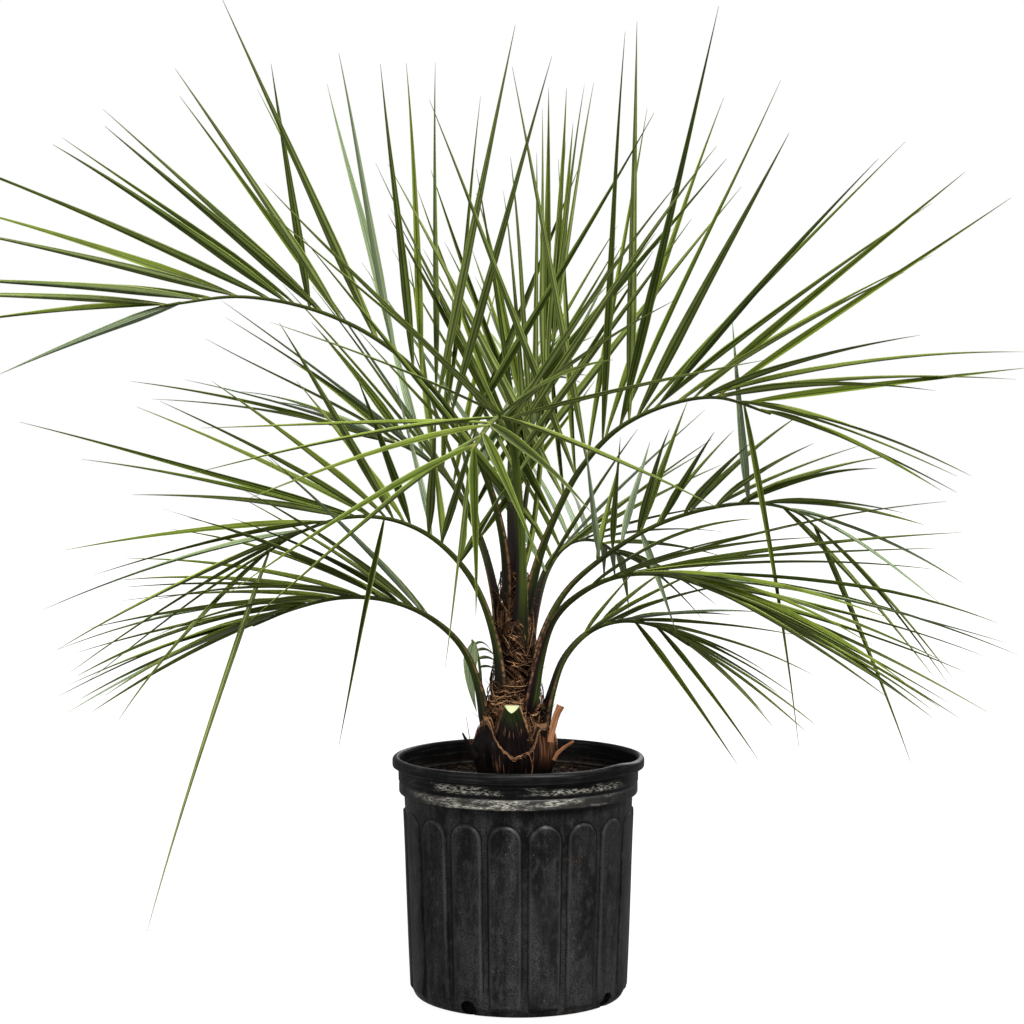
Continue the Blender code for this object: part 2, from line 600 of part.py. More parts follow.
def make_soil(collection, stem_hole, material):
    """Soil that fills the pot to just under its rim, a gap clear of the wall, round the stem's hole."""
    clear = WALL + GAP
    rim = NECK_RADIUS - clear - BAND_STEP
    profile = (
        (0.0, SOIL_CROWN), (0.060, SOIL_CROWN - 0.0010), (0.100, SOIL_EDGE + 0.0010), (rim, SOIL_EDGE),
        (rim, BAND_BOTTOM + 1.5 * BAND_STEP + WALL / 2), (WALL_TOP_RADIUS - clear, BAND_BOTTOM + GAP - WALL),
        (WALL_FOOT_RADIUS - clear, FLOOR + INNER_CORNER + BAND_STEP),
        (WALL_FOOT_RADIUS - clear - INNER_CORNER, FLOOR + GAP), (0.0, FLOOR + GAP),
    )
    soil = turned_piece("soil", profile, POT_STEPS, collection, material)
    cut(soil, [stem_hole])
    return soil


def boot_rings(bearing, heights, half_widths, half_depths, stand_off, grow=0.0):
    """Sections of an old leaf base: broad and thick at its foot, narrowing to its cut top."""
    angle = math.radians(bearing)
    outward = np.array([math.sin(angle), -math.cos(angle), 0.0])
    side = np.cross(UP, outward)
    centre = np.array([STEM_X, 0.0, 0.0])
    rings = []
    for step in range(BOOT_RINGS):
        share = step / (BOOT_RINGS - 1)
        height = blend(heights, share)
        reach = stem_radius(height) + stand_off * share**1.5
        place = centre + outward * reach + UP * height
        half_width = blend(half_widths, share**BOOT_FLARE) + grow
        half_depth = blend(half_depths, share) + grow
        wrap = half_width**2 / (2 * reach)
        flat = ring(place, side, outward, half_width, half_depth, BOOT_SIDES)
        turns = [math.tau * i / BOOT_SIDES for i in range(BOOT_SIDES)]
        rings.append([point - outward * wrap * math.cos(turn) ** 2 for point, turn in zip(flat, turns)])
    return rings


def spear_rings(count, grow=0.0):
    """The first sections of the spear, all of them or only those that its socket needs."""
    way = smooth_way(SPEAR_WAY, WAY_POINTS)
    half_widths, half_depths = SPEAR_HALF_WIDTHS[:count], SPEAR_HALF_DEPTHS[:count]
    return stalk_rings(way, SPEAR_SHARES[:count], half_widths, half_depths, grow=grow)


def main():
    for thing in list(bpy.data.objects):
        bpy.data.objects.remove(thing)
    palm = cleared_collection(OBJECT_NAME)
    cutters = cleared_collection("cutters")
    cutters.hide_render = True

    black_plastic = finish("black plastic", (0.018, 0.018, 0.020), 0.42)
    earth = finish("potting soil", (0.060, 0.038, 0.024), 0.95)
    fibre = finish("stem fibre", (0.120, 0.075, 0.045), 0.90)
    husk = finish("old leaf base", (0.160, 0.095, 0.050), 0.85)
    leaf = finish("leaf", (0.130, 0.190, 0.085), 0.50)

    sockets = []
    for name, (way, leaflets) in frond_layout().items():
        make_frond(name, way, leaflets, palm, leaf)
        sockets.append(socket_cutter(name, way, cutters))
    make_pot(palm, cutters, black_plastic)
    lofted("spear", spear_rings(len(SPEAR_SHARES)), palm, leaf)
    sockets.append(as_cutter(lofted("socket_spear", spear_rings(3, grow=SOCKET_GAP), cutters)))

    stem_hole = as_cutter(turned_piece("stem_hole", stem_profile(GAP), STEM_STEPS, cutters, centre_x=STEM_X))
    make_soil(palm, stem_hole, earth)
    stem = turned_piece("stem", stem_profile(), STEM_STEPS, palm, fibre, centre_x=STEM_X)
    cut(stem, sockets)
    inner_boots = []
    for name, boot in BOOTS.items():
        base = lofted(name, boot_rings(*boot), palm, husk)
        cut(base, [stem_hole, *sockets, *inner_boots])
        inner_boots.append(as_cutter(lofted("round_" + name, boot_rings(*boot, grow=SOCKET_GAP), cutters)))


main()
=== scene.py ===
"""Looks of a potted pindo palm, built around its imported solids.

Each fine piece stands for one solid and follows the same plan, so a leaflet lies on the curve of its plain one.
Units are metres, apart from the tables that say millimetres. The camera looks along +Y.
"""

import json
import math

import bmesh
import bpy
import numpy as np
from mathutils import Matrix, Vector, noise

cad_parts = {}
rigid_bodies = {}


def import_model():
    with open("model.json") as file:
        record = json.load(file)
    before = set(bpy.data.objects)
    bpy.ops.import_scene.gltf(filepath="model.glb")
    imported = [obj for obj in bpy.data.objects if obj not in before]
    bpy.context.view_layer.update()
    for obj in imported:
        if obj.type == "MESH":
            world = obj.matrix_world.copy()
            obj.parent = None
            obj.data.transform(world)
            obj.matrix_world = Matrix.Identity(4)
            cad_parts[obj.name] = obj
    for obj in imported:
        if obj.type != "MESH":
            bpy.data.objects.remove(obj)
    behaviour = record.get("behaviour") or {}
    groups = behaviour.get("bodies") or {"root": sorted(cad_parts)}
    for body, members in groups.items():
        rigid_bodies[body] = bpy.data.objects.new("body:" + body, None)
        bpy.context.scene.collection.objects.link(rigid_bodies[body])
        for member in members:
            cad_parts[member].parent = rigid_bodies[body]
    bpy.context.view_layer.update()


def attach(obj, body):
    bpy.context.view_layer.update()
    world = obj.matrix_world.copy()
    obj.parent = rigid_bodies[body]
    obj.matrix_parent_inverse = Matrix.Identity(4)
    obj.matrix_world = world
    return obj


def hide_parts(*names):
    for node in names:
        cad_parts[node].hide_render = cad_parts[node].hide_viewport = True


for startup_thing in list(bpy.data.objects):
    bpy.data.objects.remove(startup_thing)
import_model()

# Camera: where the photograph was taken from, on a 36 mm sensor
CAMERA_PLACE = (-0.0067, -2.304, 0.5970)
CAMERA_DIP = math.radians(2.442)
CAMERA_LENS = 78.82

SEED = 11
GAP = 0.0003
UP = np.array([0.0, 0.0, 1.0])

# Pot: a blow-moulded nursery pot with a rolled lip, two bands and raised arched panels
POT_HEIGHT = 0.2480
LIP_RADIUS = 0.1300
LIP_BOTTOM = 0.2374
NECK_RADIUS = 0.1239
GROOVE_HEIGHT = 0.2218
BAND_BOTTOM = 0.2100
WALL_TOP_RADIUS = 0.1182
WALL_FOOT_RADIUS = 0.1103
FOOT_HEIGHT = 0.0080
BASE_RADIUS = 0.1000
BAND_STEP = 0.0005
GROOVE_DEPTH = 0.0012
LIP_ROUND = 0.0022
LIP_CREST = 0.0055
# Reach of the painted highlight round the lip's crest
LIP_HIGHLIGHT = 0.0016
WALL = 0.0020
FLOOR = 0.0028
INNER_CORNER = 0.0040
CORNER_ROUND = 0.0016
PANELS = 18
PANEL_PITCH = math.tau / PANELS
PANEL_WIDTH = 0.0330
PANEL_RELIEF = 0.0020
PANEL_BORDER = (-0.0006, 0.0019)
PANEL_GROOVE = 0.0006
GROOVE_PLACE = (-0.0013, 0.0009)
# Where a highlight is painted on the panels' rounded borders and shade in the grooves round them, and the
# heights over which both fade in above the foot
BORDER_HIGHLIGHT = (0.0011, 0.0008)
GROOVE_SHADE = (-0.0012, 0.0008)
MARK_FADE = (0.012, 0.034)
PANEL_TOP = 0.1939
PANEL_FOOT = 0.0090
FIRST_PANEL = math.radians(-6.95)
DRAIN_PANELS = (-1, 3, 8, 12)
DRAIN_RADIUS = 0.0085
DRAIN_HEIGHT = 0.0085
DRAIN_LENGTH = 0.0260

# Columns to each panel, gathered at its borders, and the spacing of the wall's rows below each height
PANEL_CELL = PANEL_WIDTH / (PANEL_PITCH * WALL_TOP_RADIUS)
PANEL_COLUMNS = (0.07, 0.20, 0.34, 0.46, 0.58, 0.68, 0.77, 0.84, 0.90, 0.95, 0.99, 1.03, 1.07, 1.12)
WALL_ROWS = ((0.2035, 0.002), (0.1969, 0.001), (0.1729, 0.008), (0.020, 0.0015), (FOOT_HEIGHT + 0.0018, 0))
WALL_WAVE = 0.0008
WAVE_BENDS = 2.3
WAVE_RISE = 9.2
RIM_DENT = math.radians(52)
RIM_DENT_SPREAD = 0.20
RIM_DENT_RISE = 0.0022
# Reach of the painted highlight along the lip's bottom edge and the lower band's top edge
EDGE_HIGHLIGHT_REACH = 0.0009
MUD_PLACE = (0.058, -0.102, 0.159)

# Soil and stem: radius and height of the stem, and the height and radius that leaflets keep clear of round it
SOIL_EDGE = 0.2195
SOIL_CROWN = 0.2250
SOIL_ROWS = 34
SOIL_STEPS = 150
SOIL_LUMPS = ((160, 0.0012), (45, 0.0016))
SOIL_CRUMBS = 900
CRUMB_SIZES = (0.0008, 0.0026)
STEM_X = -0.0035
STEM_PROFILE = (
    (0.0260, 0.1540), (0.0310, 0.1890), (0.0345, 0.2250), (0.0378, 0.2500), (0.0355, 0.2790),
    (0.0285, 0.3090), (0.0222, 0.3390), (0.0188, 0.3740), (0.0165, 0.4090), (0.0130, 0.4370),
)
STEM_KEEP_OUT = ((0.204, 0.060), (0.304, 0.038), (0.344, 0.025), (0.440, 0.015))
STEM_ROWS = 90
STEM_SIDES = 72
CORE_SINK = -0.0040
CORE_LUMPS = 0.0022

# Leaflets: half width of the plain blade at shares of its length, and how its line is found
LEAFLET_SHARES = (0.0, 0.30, 0.68, 1.0)
LEAFLET_HALF_WIDTHS = (0.0018, 0.0047, 0.0037, 0.0004)
FOLD = math.radians(58)
CLEARANCE = 0.0006
SWING_STEP = math.radians(1.1)
SWINGS = 90
GOLDEN_TURN = math.radians(137.5)
WAY_POINTS = 97
CURVE_STEPS = 24
ROD_SPACING = 4
LAST_PAIR = 0.985
PAIR_STRAGGLE = 0.3
SWEEP_SPREAD = 2.5
LIFT_SPREAD = 6.0
LENGTH_RANGE = (0.85, 1.10)
DROOP_RANGE = (0.6, 1.4)

# Spear: the unopened young leaf, its way in millimetres and its sections
SPEAR_WAY = ((2, -6, 428), (13.5, -4, 474), (21, -2, 534), (26, 0, 604), (28, 2, 676))
SPEAR_SHARES = (0.0, 0.18, 0.45, 0.75, 1.0)
SPEAR_HALF_WIDTHS = (0.0030, 0.0050, 0.0058, 0.0045, 0.0006)
SPEAR_HALF_DEPTHS = (0.0028, 0.0026, 0.0022, 0.0018, 0.0006)
SPEAR_RINGS = 40
SPEAR_SIDES = 24
SPEAR_PLEAT = 0.22

# Old leaf bases: bearing round the stem in degrees, turning from the viewer to the viewer's right, then
# the heights of foot and cut top, half widths, half thicknesses and how far the top stands off the stem.
BOOTS = {
    "boot_front": (-5, (0.242, 0.303), (0.025, 0.0078), (0.0062, 0.0052), 0.0075),
    "boot_left": (-50, (0.232, 0.290), (0.021, 0.0055), (0.0064, 0.0042), 0.0060),
    "boot_right": (45, (0.230, 0.283), (0.022, 0.0080), (0.0066, 0.0046), 0.0065),
    "boot_back_left": (-135, (0.232, 0.286), (0.021, 0.0095), (0.0066, 0.0052), 0.0060),
    "boot_back": (172, (0.240, 0.300), (0.021, 0.0090), (0.0066, 0.0052), 0.0065),
    "boot_back_right": (112, (0.232, 0.274), (0.019, 0.0095), (0.0064, 0.0050), 0.0060),
}
BOOT_RINGS = 22
BOOT_SIDES = 32
BOOT_FLARE = 1.3
BOOT_TUCK = 0.0025
BURIED_TUCK = 0.0020
CUT_SLOPE = 1.3
KEEL_POWER = 1.5
KEEL_INSIDE = 0.45
BOOT_ROUGHNESS = 0.0011
CUT_INSET = 0.16
CUT_SINK = 0.0004
MARGIN_STRANDS = 3
MARGIN_SPREAD = 0.0009
MARGIN_WOBBLE = 0.00045
MARGIN_RADII = (0.00025, 0.0005)

# Fronds: the way from the seat in the stem to the tip of the midrib, and how its leaflets stand.
# radius: of the stalk at its foot and tip.  start: share of the way where the leaflets begin.
# pairs: leaflets on each side.  pale: how pale the green is.  minty: share of leaflets painted mint, as a
# painted glow of light shining through them from behind.
# The rest is given at the first, middle and last pair.  sweep: angle from the midrib, in degrees.
# lift: angle of the two rows above the plane of the blade.  reach: length.  droop: sag as a share of length.
# strays: single leaflets that leave the rows, as (share of the way, tip, droop).
# Ways, radii, reaches and tips are in millimetres.
FRONDS = {
    "frond_high_left": dict(
        way=((-10, -5, 384), (-13, -12, 459), (-30, -22, 529), (-62, -34, 594), (-120, -48, 659),
             (-190, -60, 699), (-272, -72, 716), (-350, -82, 707)),
        radius=(5, 1.8), start=0.31, pairs=14, pale=0.36, minty=0.04, sweep=(62, 34, 12), lift=(68, 66, 62),
        reach=(360, 340, 270), droop=(0.01, 0.02, 0.05),
        strays=((0.97, (-510, -90, 639), 0.05), (0.74, (-240, -120, 940), 0.01))),
    "frond_high_right": dict(
        way=((3, -6, 379), (18, -13, 444), (36, -24, 494), (62, -38, 544), (98, -55, 584), (145, -75, 608),
             (195, -98, 616), (245, -120, 600)),
        radius=(5, 1.8), start=0.25, pairs=14, pale=0.38, minty=0.06, sweep=(60, 36, 14), lift=(66, 62, 24),
        reach=(380, 410, 210), droop=(0.01, 0.02, 0.18),
        strays=((0.93, (256, -136, 352), 0.3), (0.62, (104, -120, 979), 0), (0.93, (492, -130, 644), 0.02),
                (0.8, (432, -130, 834), 0.01), (0.86, (478, -130, 810), 0.02))),
    "frond_front": dict(
        way=((0, -18, 349), (3, -28, 424), (1, -36, 494), (-4, -60, 559), (-12, -110, 594),
             (-26, -165, 592), (-45, -215, 564)),
        radius=(5.2, 1.8), start=0.48, pairs=9, pale=0.62, minty=0.1, sweep=(50, 40, 26), lift=(44, 26, 6),
        reach=(360, 340, 270), droop=(0.02, 0.06, 0.14),
        strays=((0.78, (184, -180, 512), 0.06), (0.7, (241, -150, 652), 0.04),
                (0.86, (-300, -190, 586), 0.03), (0.97, (-66, -235, 382), 0.1))),
    "frond_mid_left": dict(
        way=((-15, -18, 304), (-23, -26, 369), (-45, -36, 429), (-82, -48, 472), (-125, -62, 494),
             (-172, -76, 497), (-218, -90, 482), (-250, -100, 462)),
        radius=(5.2, 1.7), start=0.42, pairs=11, pale=0.42, minty=0.1, sweep=(66, 36, 18), lift=(58, 50, 0),
        reach=(120, 270, 230), droop=(0.03, 0.06, 0.12),
        strays=((0.985, (-352, -130, 126), 0.1), (0.66, (-172, -120, 294), 0.1),
                (0.74, (-490, -110, 592), 0.02))),
    "frond_low_left": dict(
        way=((-30, -4, 266), (-40, -6, 319), (-58, -12, 362), (-92, -24, 394), (-135, -38, 412),
             (-180, -52, 415), (-225, -66, 405), (-265, -78, 389)),
        radius=(5.6, 1.7), start=0.46, pairs=12, pale=0.4, minty=0.05, sweep=(30, 24, 16),
        lift=(34, 40, 18), reach=(240, 250, 210), droop=(0.08, 0.14, 0.16), strays=()),
    "frond_back_left": dict(
        way=((-17, 10, 339), (-24, 22, 409), (-42, 45, 474), (-75, 78, 532), (-120, 118, 564),
             (-170, 160, 576)),
        radius=(4.8, 1.7), start=0.4, pairs=11, pale=0.34, minty=0.16, sweep=(58, 34, 16),
        lift=(45, 38, 26), reach=(240, 310, 290), droop=(0.03, 0.05, 0.1), strays=()),
    "frond_mid_right": dict(
        way=((12, -10, 314), (24, -12, 372), (48, -18, 419), (88, -28, 456), (135, -40, 486),
             (185, -54, 504), (235, -68, 511), (275, -80, 503), (300, -88, 482)),
        radius=(5, 1.7), start=0.38, pairs=10, pale=0.38, minty=0.14, sweep=(58, 40, 20), lift=(52, 40, 6),
        reach=(140, 170, 200), droop=(0.03, 0.1, 0.22),
        strays=((0.8, (208, -60, 694), 0), (0.97, (372, -105, 286), 0.16), (0.88, (395, -95, 354), 0.14),
                (0.52, (155, -60, 389), 0.1))),
    "frond_low_right": dict(
        way=((10, -24, 289), (21, -34, 349), (36, -50, 394), (66, -72, 424), (104, -96, 441),
             (148, -122, 442), (192, -148, 428), (225, -166, 412)),
        radius=(5.2, 1.7), start=0.49, pairs=12, pale=0.44, minty=0.05, sweep=(24, 20, 14),
        lift=(-6, 14, 18), reach=(340, 310, 220), droop=(0.14, 0.14, 0.1), strays=()),
    "frond_lowest_right": dict(
        way=((22, 2, 266), (34, 4, 314), (48, 10, 349), (75, 20, 375), (110, 32, 384), (148, 44, 376),
             (180, 54, 356)),
        radius=(5.6, 1.6), start=0.5, pairs=8, pale=0.48, minty=0.05, sweep=(34, 24, 16), lift=(20, 14, 6),
        reach=(150, 190, 150), droop=(0.06, 0.14, 0.16),
        strays=((0.72, (222, 30, 242), 0.08), (0.82, (243, 36, 247), 0.1))),
    "frond_back_right": dict(
        way=((6, 18, 324), (15, 36, 384), (30, 70, 434), (54, 125, 459), (86, 190, 459), (115, 250, 439)),
        radius=(4.8, 1.6), start=0.38, pairs=10, pale=0.3, minty=0.36, sweep=(58, 36, 17),
        lift=(50, 36, 22), reach=(200, 240, 190), droop=(0.03, 0.1, 0.2), strays=()),
    "frond_back": dict(
        way=((-4, 10, 384), (-6, 26, 449), (-8, 62, 529), (-4, 120, 594), (4, 190, 629), (12, 255, 632)),
        radius=(4.6, 1.7), start=0.32, pairs=12, pale=0.5, minty=0.36, sweep=(58, 38, 18),
        lift=(54, 46, 40), reach=(270, 290, 220), droop=(0.02, 0.06, 0.12), strays=()),
    "frond_young": dict(
        way=((-2, 4, 416), (5, 9, 494), (17, 14, 574), (30, 18, 644), (42, 22, 704)),
        radius=(3.6, 1.4), start=0.36, pairs=8, pale=0.5, minty=0.1, sweep=(30, 18, 8), lift=(58, 54, 50),
        reach=(320, 300, 240), droop=(0, 0.01, 0.02), strays=()),
    "frond_small": dict(
        way=((-33, 18, 266), (-38, 30, 304), (-40, 34, 334), (-44, 32, 356), (-48, 20, 364)),
        radius=(3.2, 1.4), start=0.6, pairs=0, pale=1, minty=0,
        strays=((0.66, (-21, 36, 331), 0.5), (0.74, (-20, 34, 340), 0.6), (0.82, (-21, 30, 347), 0.8),
                (0.9, (-23, 25, 352), 1), (0.97, (-44, 16, 301), 0.05))),
}
# How whitish a mint leaflet is painted, as a painted glow of light shining through it from behind
MINT = 0.75

# Mats of strands on the stem: bearings and heights that they cover, lean and its spread, all angles in degrees,
# shortest and longest, how far they sag, how many they are, and the darkest and lightest
ALL_ROUND = (-180, 180)
STRAND_MATS = (
    (ALL_ROUND, (0.244, 0.304), 18, 10, (0.020, 0.050), 0.0, 44, (0.0, 0.40)),
    (ALL_ROUND, (0.244, 0.304), -18, 10, (0.020, 0.050), 0.0, 44, (0.0, 0.40)),
    (ALL_ROUND, (0.300, 0.440), 44, 14, (0.020, 0.055), 0.0, 70, (0.0, 0.40)),
    (ALL_ROUND, (0.300, 0.440), -44, 14, (0.020, 0.055), 0.0, 70, (0.0, 0.40)),
    ((-50, 10), (0.298, 0.330), -3, 6, (0.018, 0.034), 0.0040, 36, (0.03, 0.95)),
    ((-24, 30), (0.326, 0.386), -52, 14, (0.008, 0.018), -0.0015, 60, (0.02, 0.90)),
    ((4, 50), (0.270, 0.312), 25, 60, (0.008, 0.022), 0.002, 66, (0.08, 1.0)),
    ((-62, -18), (0.268, 0.304), -25, 50, (0.008, 0.022), 0.002, 44, (0.03, 0.9)),
    ((-44, -10), (0.370, 0.438), 78, 26, (0.010, 0.030), 0.0, 56, (0.04, 0.75)),
    ((12, 50), (0.370, 0.438), 84, 26, (0.010, 0.030), 0.0, 70, (0.06, 0.95)),
)
STRAND_POINTS = 9
STRAND_LIFTS = (-0.0040, 0.0016)
STRAND_RADII = (0.00025, 0.00062)
STRAND_TAPER = np.array([0.5, 0.8, 1, 1, 1, 1, 1, 0.8, 0.5])
STRAND_BOW = 0.0012
STRAND_DARKNESS = 2.2
BUNDLE_TURN = 0.05
BUNDLE_RISE = 0.0012
BUNDLE_SWAY = 0.0022
LOWEST_STRAND = 0.215
STRAYS = 110
STRAY_HEIGHTS = (0.264, 0.434)
STRAY_LENGTHS = (0.005, 0.012)
STRAY_RADII = (0.0005, 0.00015)
STRAY_POINTS = 7

# Feet of stalks that strands lie over: bearing and its spread, lowest and highest, and how far they stand out
BURIED_FEET = (
    (math.radians(4), 0.50, (0.333, 0.388), 0.0108),
    (math.radians(-34), 0.34, (0.286, 0.326), 0.0056),
)

# Husk: the torn sheaths round the foot. HUSK_TOPS has the height of their top edge in millimetres at each
# bearing in degrees, and HUSK_RADII their radius at each height.
HUSK_TOPS = ((-180, 288), (-172, 292), (-156, 262), (-143, 276), (-132, 284), (-118, 266), (-98, 251),
             (-80, 259), (-64, 274), (-54, 283.5), (-43, 288.5), (-38, 286.5), (-34, 281), (-28, 271.5),
             (-14.5, 258.5), (1, 250.8), (14, 253.2), (24, 260), (29, 266.5), (33, 274.5), (40, 279),
             (50, 279), (60, 270), (74, 262), (90, 252), (104, 268), (113, 272), (124, 264), (142, 252),
             (156, 268), (168, 294), (180, 288))
HUSK_RADII = (
    (0.217, 0.0350), (0.228, 0.0372), (0.240, 0.0418), (0.250, 0.0443),
    (0.260, 0.0447), (0.272, 0.0432), (0.285, 0.0418), (0.295, 0.0405),
)
HUSK_X = -0.0045
HUSK_FOOT = 0.2170
HUSK_STEPS = 300
HUSK_ROWS = 18
HUSK_THICKNESS = 0.0013
HUSK_FOLD = 0.0013
HUSK_FRAY = 0.0022
HUSK_SUNNY = math.radians(58)
HUSK_SUNNY_SPREAD = math.radians(17)
EDGE_STRANDS = 38
EDGE_RUNS = (0.15, 0.75)
EDGE_RADII = (0.00020, 0.00042)
EDGE_POINTS = 14

# Torn strips of old leaf bases: the piece that each belongs to, its line in millimetres, its widths at foot and
# tip in metres, and how light it is
STRIPS = (
    ("boot_right", ((32.5, -36, 266), (34.5, -36, 278), (37.5, -36.5, 291), (42.8, -37, 303.5)),
     (0.0060, 0.0076), 0.95),
    ("boot_right", ((36, -33, 247), (40, -34, 254.5), (48, -35, 261.5), (56.1, -35.5, 266.8)),
     (0.0042, 0.0030), 0.75),
    ("boot_left", ((-43, -26, 248), (-49, -28, 258.5), (-53.5, -29, 267), (-57.3, -28, 274.5)),
     (0.0090, 0.0016), 0.0),
    ("boot_left", ((-45, -20, 250), (-49, -21, 262), (-51.5, -21, 277), (-53.5, -20, 290)),
     (0.0012, 0.0004), 0.15),
    ("boot_front", ((8, -45, 257), (11.5, -46.5, 253), (13.8, -46.5, 245), (14, -45.5, 237)),
     (0.0006, 0.0004), 0.8),
)
STRIP_THICKNESS = 0.0011
STRIP_RINGS = 13
STRIP_SIDES = 8

# Fine leaflets: sections at BLADE_SHARES of the length, each running from margin to margin and back, with
# BLADE_ABOVE at -1 on the lower face and 1 on the upper one
BLADE_SHARES = np.array([0.0, 0.012, 0.03, 0.06, 0.11, 0.18, 0.26, 0.35, 0.44, 0.53, 0.62, 0.70, 0.78, 0.85,
                         0.91, 0.96, 1.0])
BLADE_ACROSS = np.array([-1, -0.5, 0, 0.5, 1, 0.5, 0, -0.5])
BLADE_ABOVE = np.array([0, -1, -1, -1, 0, 1, 1, 1])
BLADE_ROOT = 0.0015
BLADE_TIP = 0.0002
BLADE_WIDEST = 0.26
BLADE_HALF_WIDTH = 0.0056
BLADE_WIDTHS = (0.82, 1.12)
BLADE_TAPER = 1.05
BLADE_WAVE = 0.006
BLADE_THICKNESS = 0.0005
BLADE_ARCH = 0.10
BLADE_TWIST = math.radians(16)
BLADE_PALENESS_SPREAD = 0.26
FOLD_SPREAD = math.radians(6)
ROOT_CLOSING = math.radians(16)
CLOSING_SHARE = 0.08
ROOT_SWELL = 0.0010
ROOT_LENGTH = 0.006
KEEL_RIB = 0.0004
SHORT_LEAFLET = 0.11
SHORT_WHITISH = 0.6
HANGING = -0.5
HANGING_NARROWING = 0.75
PLEATED_HALF_WIDTH = 0.0085
PLEATED_LENGTH = 1.12
PLEATED_BOW = 0.0050

# Fine stalks
STALK_BREADTH = 1.20
STALK_DEPTH = 0.95
STALK_TOP = 0.62
STALK_CHANNEL = 0.20
STALK_RINGS = 64
STALK_SIDES = 16
FOOT_FLARE = 0.75
FOOT_DEPTH_FLARE = 0.55
FOOT_SHARE = 0.15
TEETH_START = 0.06
TOOTH_PITCH = 0.0055
TOOTH_LENGTH = 0.0030
TOOTH_OUT = 0.86
TOOTH_UP = 0.25
TOOTH_ALONG = np.array([-0.45, 0, 0.45, 0])
TOOTH_ACROSS = np.array([0, 0.28, 0, -0.28])

# Studio: the side each light shines from, its strength and its softness in degrees
LIGHTS = {
    "key": ((0.35, -0.55, 1.0), 4.4, 26),
    "fill": ((-0.9, -0.7, 0.45), 0.8, 40),
    "back": ((0.25, 0.9, 0.55), 1.1, 40),
}
SURROUND_LIGHT = 0.24
SURROUND_SEEN = 1.0

# Floor: it shows as white mostly by its own glow, so that fine tips in front of it aren't washed out
FLOOR_GLOW = 0.95
FLOOR_GREYS = (0.115, 0.125)
FLOOR_HALF_SIZE = 12.0


def unit(vector):
    return vector / np.linalg.norm(vector)


def blend(pair, share):
    return pair[0] + (pair[1] - pair[0]) * share


def smooth(low, high, value):
    """0 at low and 1 at high, with an even rise between them and none beyond."""
    share = np.clip((value - low) / (high - low), 0, 1)
    return share * share * (3 - 2 * share)


def hump(value, middle, spread):
    """1 at the middle, falling to 0 on both sides."""
    return np.exp(-(((value - middle) / spread) ** 2))


def ripple(x, y, z):
    """Even noise in space, from -1 to 1."""
    return noise.noise(Vector((x, y, z)))


def full_turn(count):
    return np.linspace(0, math.tau, count, endpoint=False)


def around(bearing, reach, height, centre_x=0.0):
    """Points round an upright axis. The bearings, in radians, turn from the viewer to the viewer's right."""
    x, y = centre_x + reach * np.sin(bearing), -reach * np.cos(bearing)
    return np.stack(np.broadcast_arrays(x, y, height), axis=-1)


def draws(name):
    """Random draws of a piece's own."""
    return np.random.default_rng([SEED, len(name), *name.encode()])


def smooth_way(points, count):
    """A smooth line (Catmull-Rom) through points in millimetres, at count evenly spaced places."""
    p = np.array(points, float) / 1000
    p = np.vstack([2 * p[0] - p[1], p, 2 * p[-1] - p[-2]])
    fine = []
    for a, b, c, d in zip(p, p[1:], p[2:], p[3:]):
        for u in np.linspace(0, 1, CURVE_STEPS, endpoint=False):
            cubic = (d - a + 3 * (b - c)) * u**3 + (2 * a - 5 * b + 4 * c - d) * u**2
            fine.append(b + 0.5 * ((c - a) * u + cubic))
    fine = np.array(fine + [p[-2]])
    run = np.append(0, np.cumsum(np.linalg.norm(np.diff(fine, axis=0), axis=1)))
    at = np.linspace(0, run[-1], count)
    return np.column_stack([np.interp(at, run, fine[:, axis]) for axis in range(3)])


def frame_at(way, share):
    """Place, direction, side and upper face of the midrib at a share of its way."""
    at = share * (len(way) - 1)
    low = min(int(at), len(way) - 2)
    place = blend((way[low], way[low + 1]), at - low)
    along = unit(way[min(low + 2, len(way) - 1)] - way[max(low - 1, 0)])
    outward = (way[-1] - way[0]) * (1, 1, 0)
    side = np.cross(UP, unit(outward))
    side = unit(side - along * side.dot(along))
    return place, along, side, np.cross(along, side)


def bent(root, direction, length, droop, shares):
    """The leaflet's line: straight at its root, sagging with the square of the way along it."""
    s = np.array(shares, float)[:, None]
    return root + length * (s * direction - droop * s**2 * UP)


def planned_leaflets(plan, way, rng):
    """(root, along, direction, length, droop) of every leaflet, before they are swung clear of each other."""
    last = plan["pairs"] - 1
    for pair in range(plan["pairs"]):
        pitch = (LAST_PAIR - plan["start"]) / last
        keys = ("sweep", "lift", "reach", "droop")
        here = {key: np.interp(pair / last, (0, 0.5, 1), plan[key]) for key in keys}
        for row in (-1, 1):
            at = plan["start"] + pitch * (pair + rng.uniform(-PAIR_STRAGGLE, PAIR_STRAGGLE))
            place, along, side, face = frame_at(way, min(at, 1.0))
            sweep = math.radians(here["sweep"] + rng.normal(0, SWEEP_SPREAD))
            lift = math.radians(here["lift"] + rng.normal(0, LIFT_SPREAD))
            spread = row * math.cos(lift) * side + math.sin(lift) * face
            direction = unit(math.cos(sweep) * along + math.sin(sweep) * spread)
            length = here["reach"] / 1000 * rng.uniform(*LENGTH_RANGE)
            yield place, along, direction, length, here["droop"] * rng.uniform(*DROOP_RANGE)
    for at, tip, droop in plan["strays"]:
        place, along, _, _ = frame_at(way, at)
        reach = np.array(tip) / 1000 - place
        length = np.linalg.norm(reach)
        yield place, along, unit(reach + UP * droop * length), length, droop


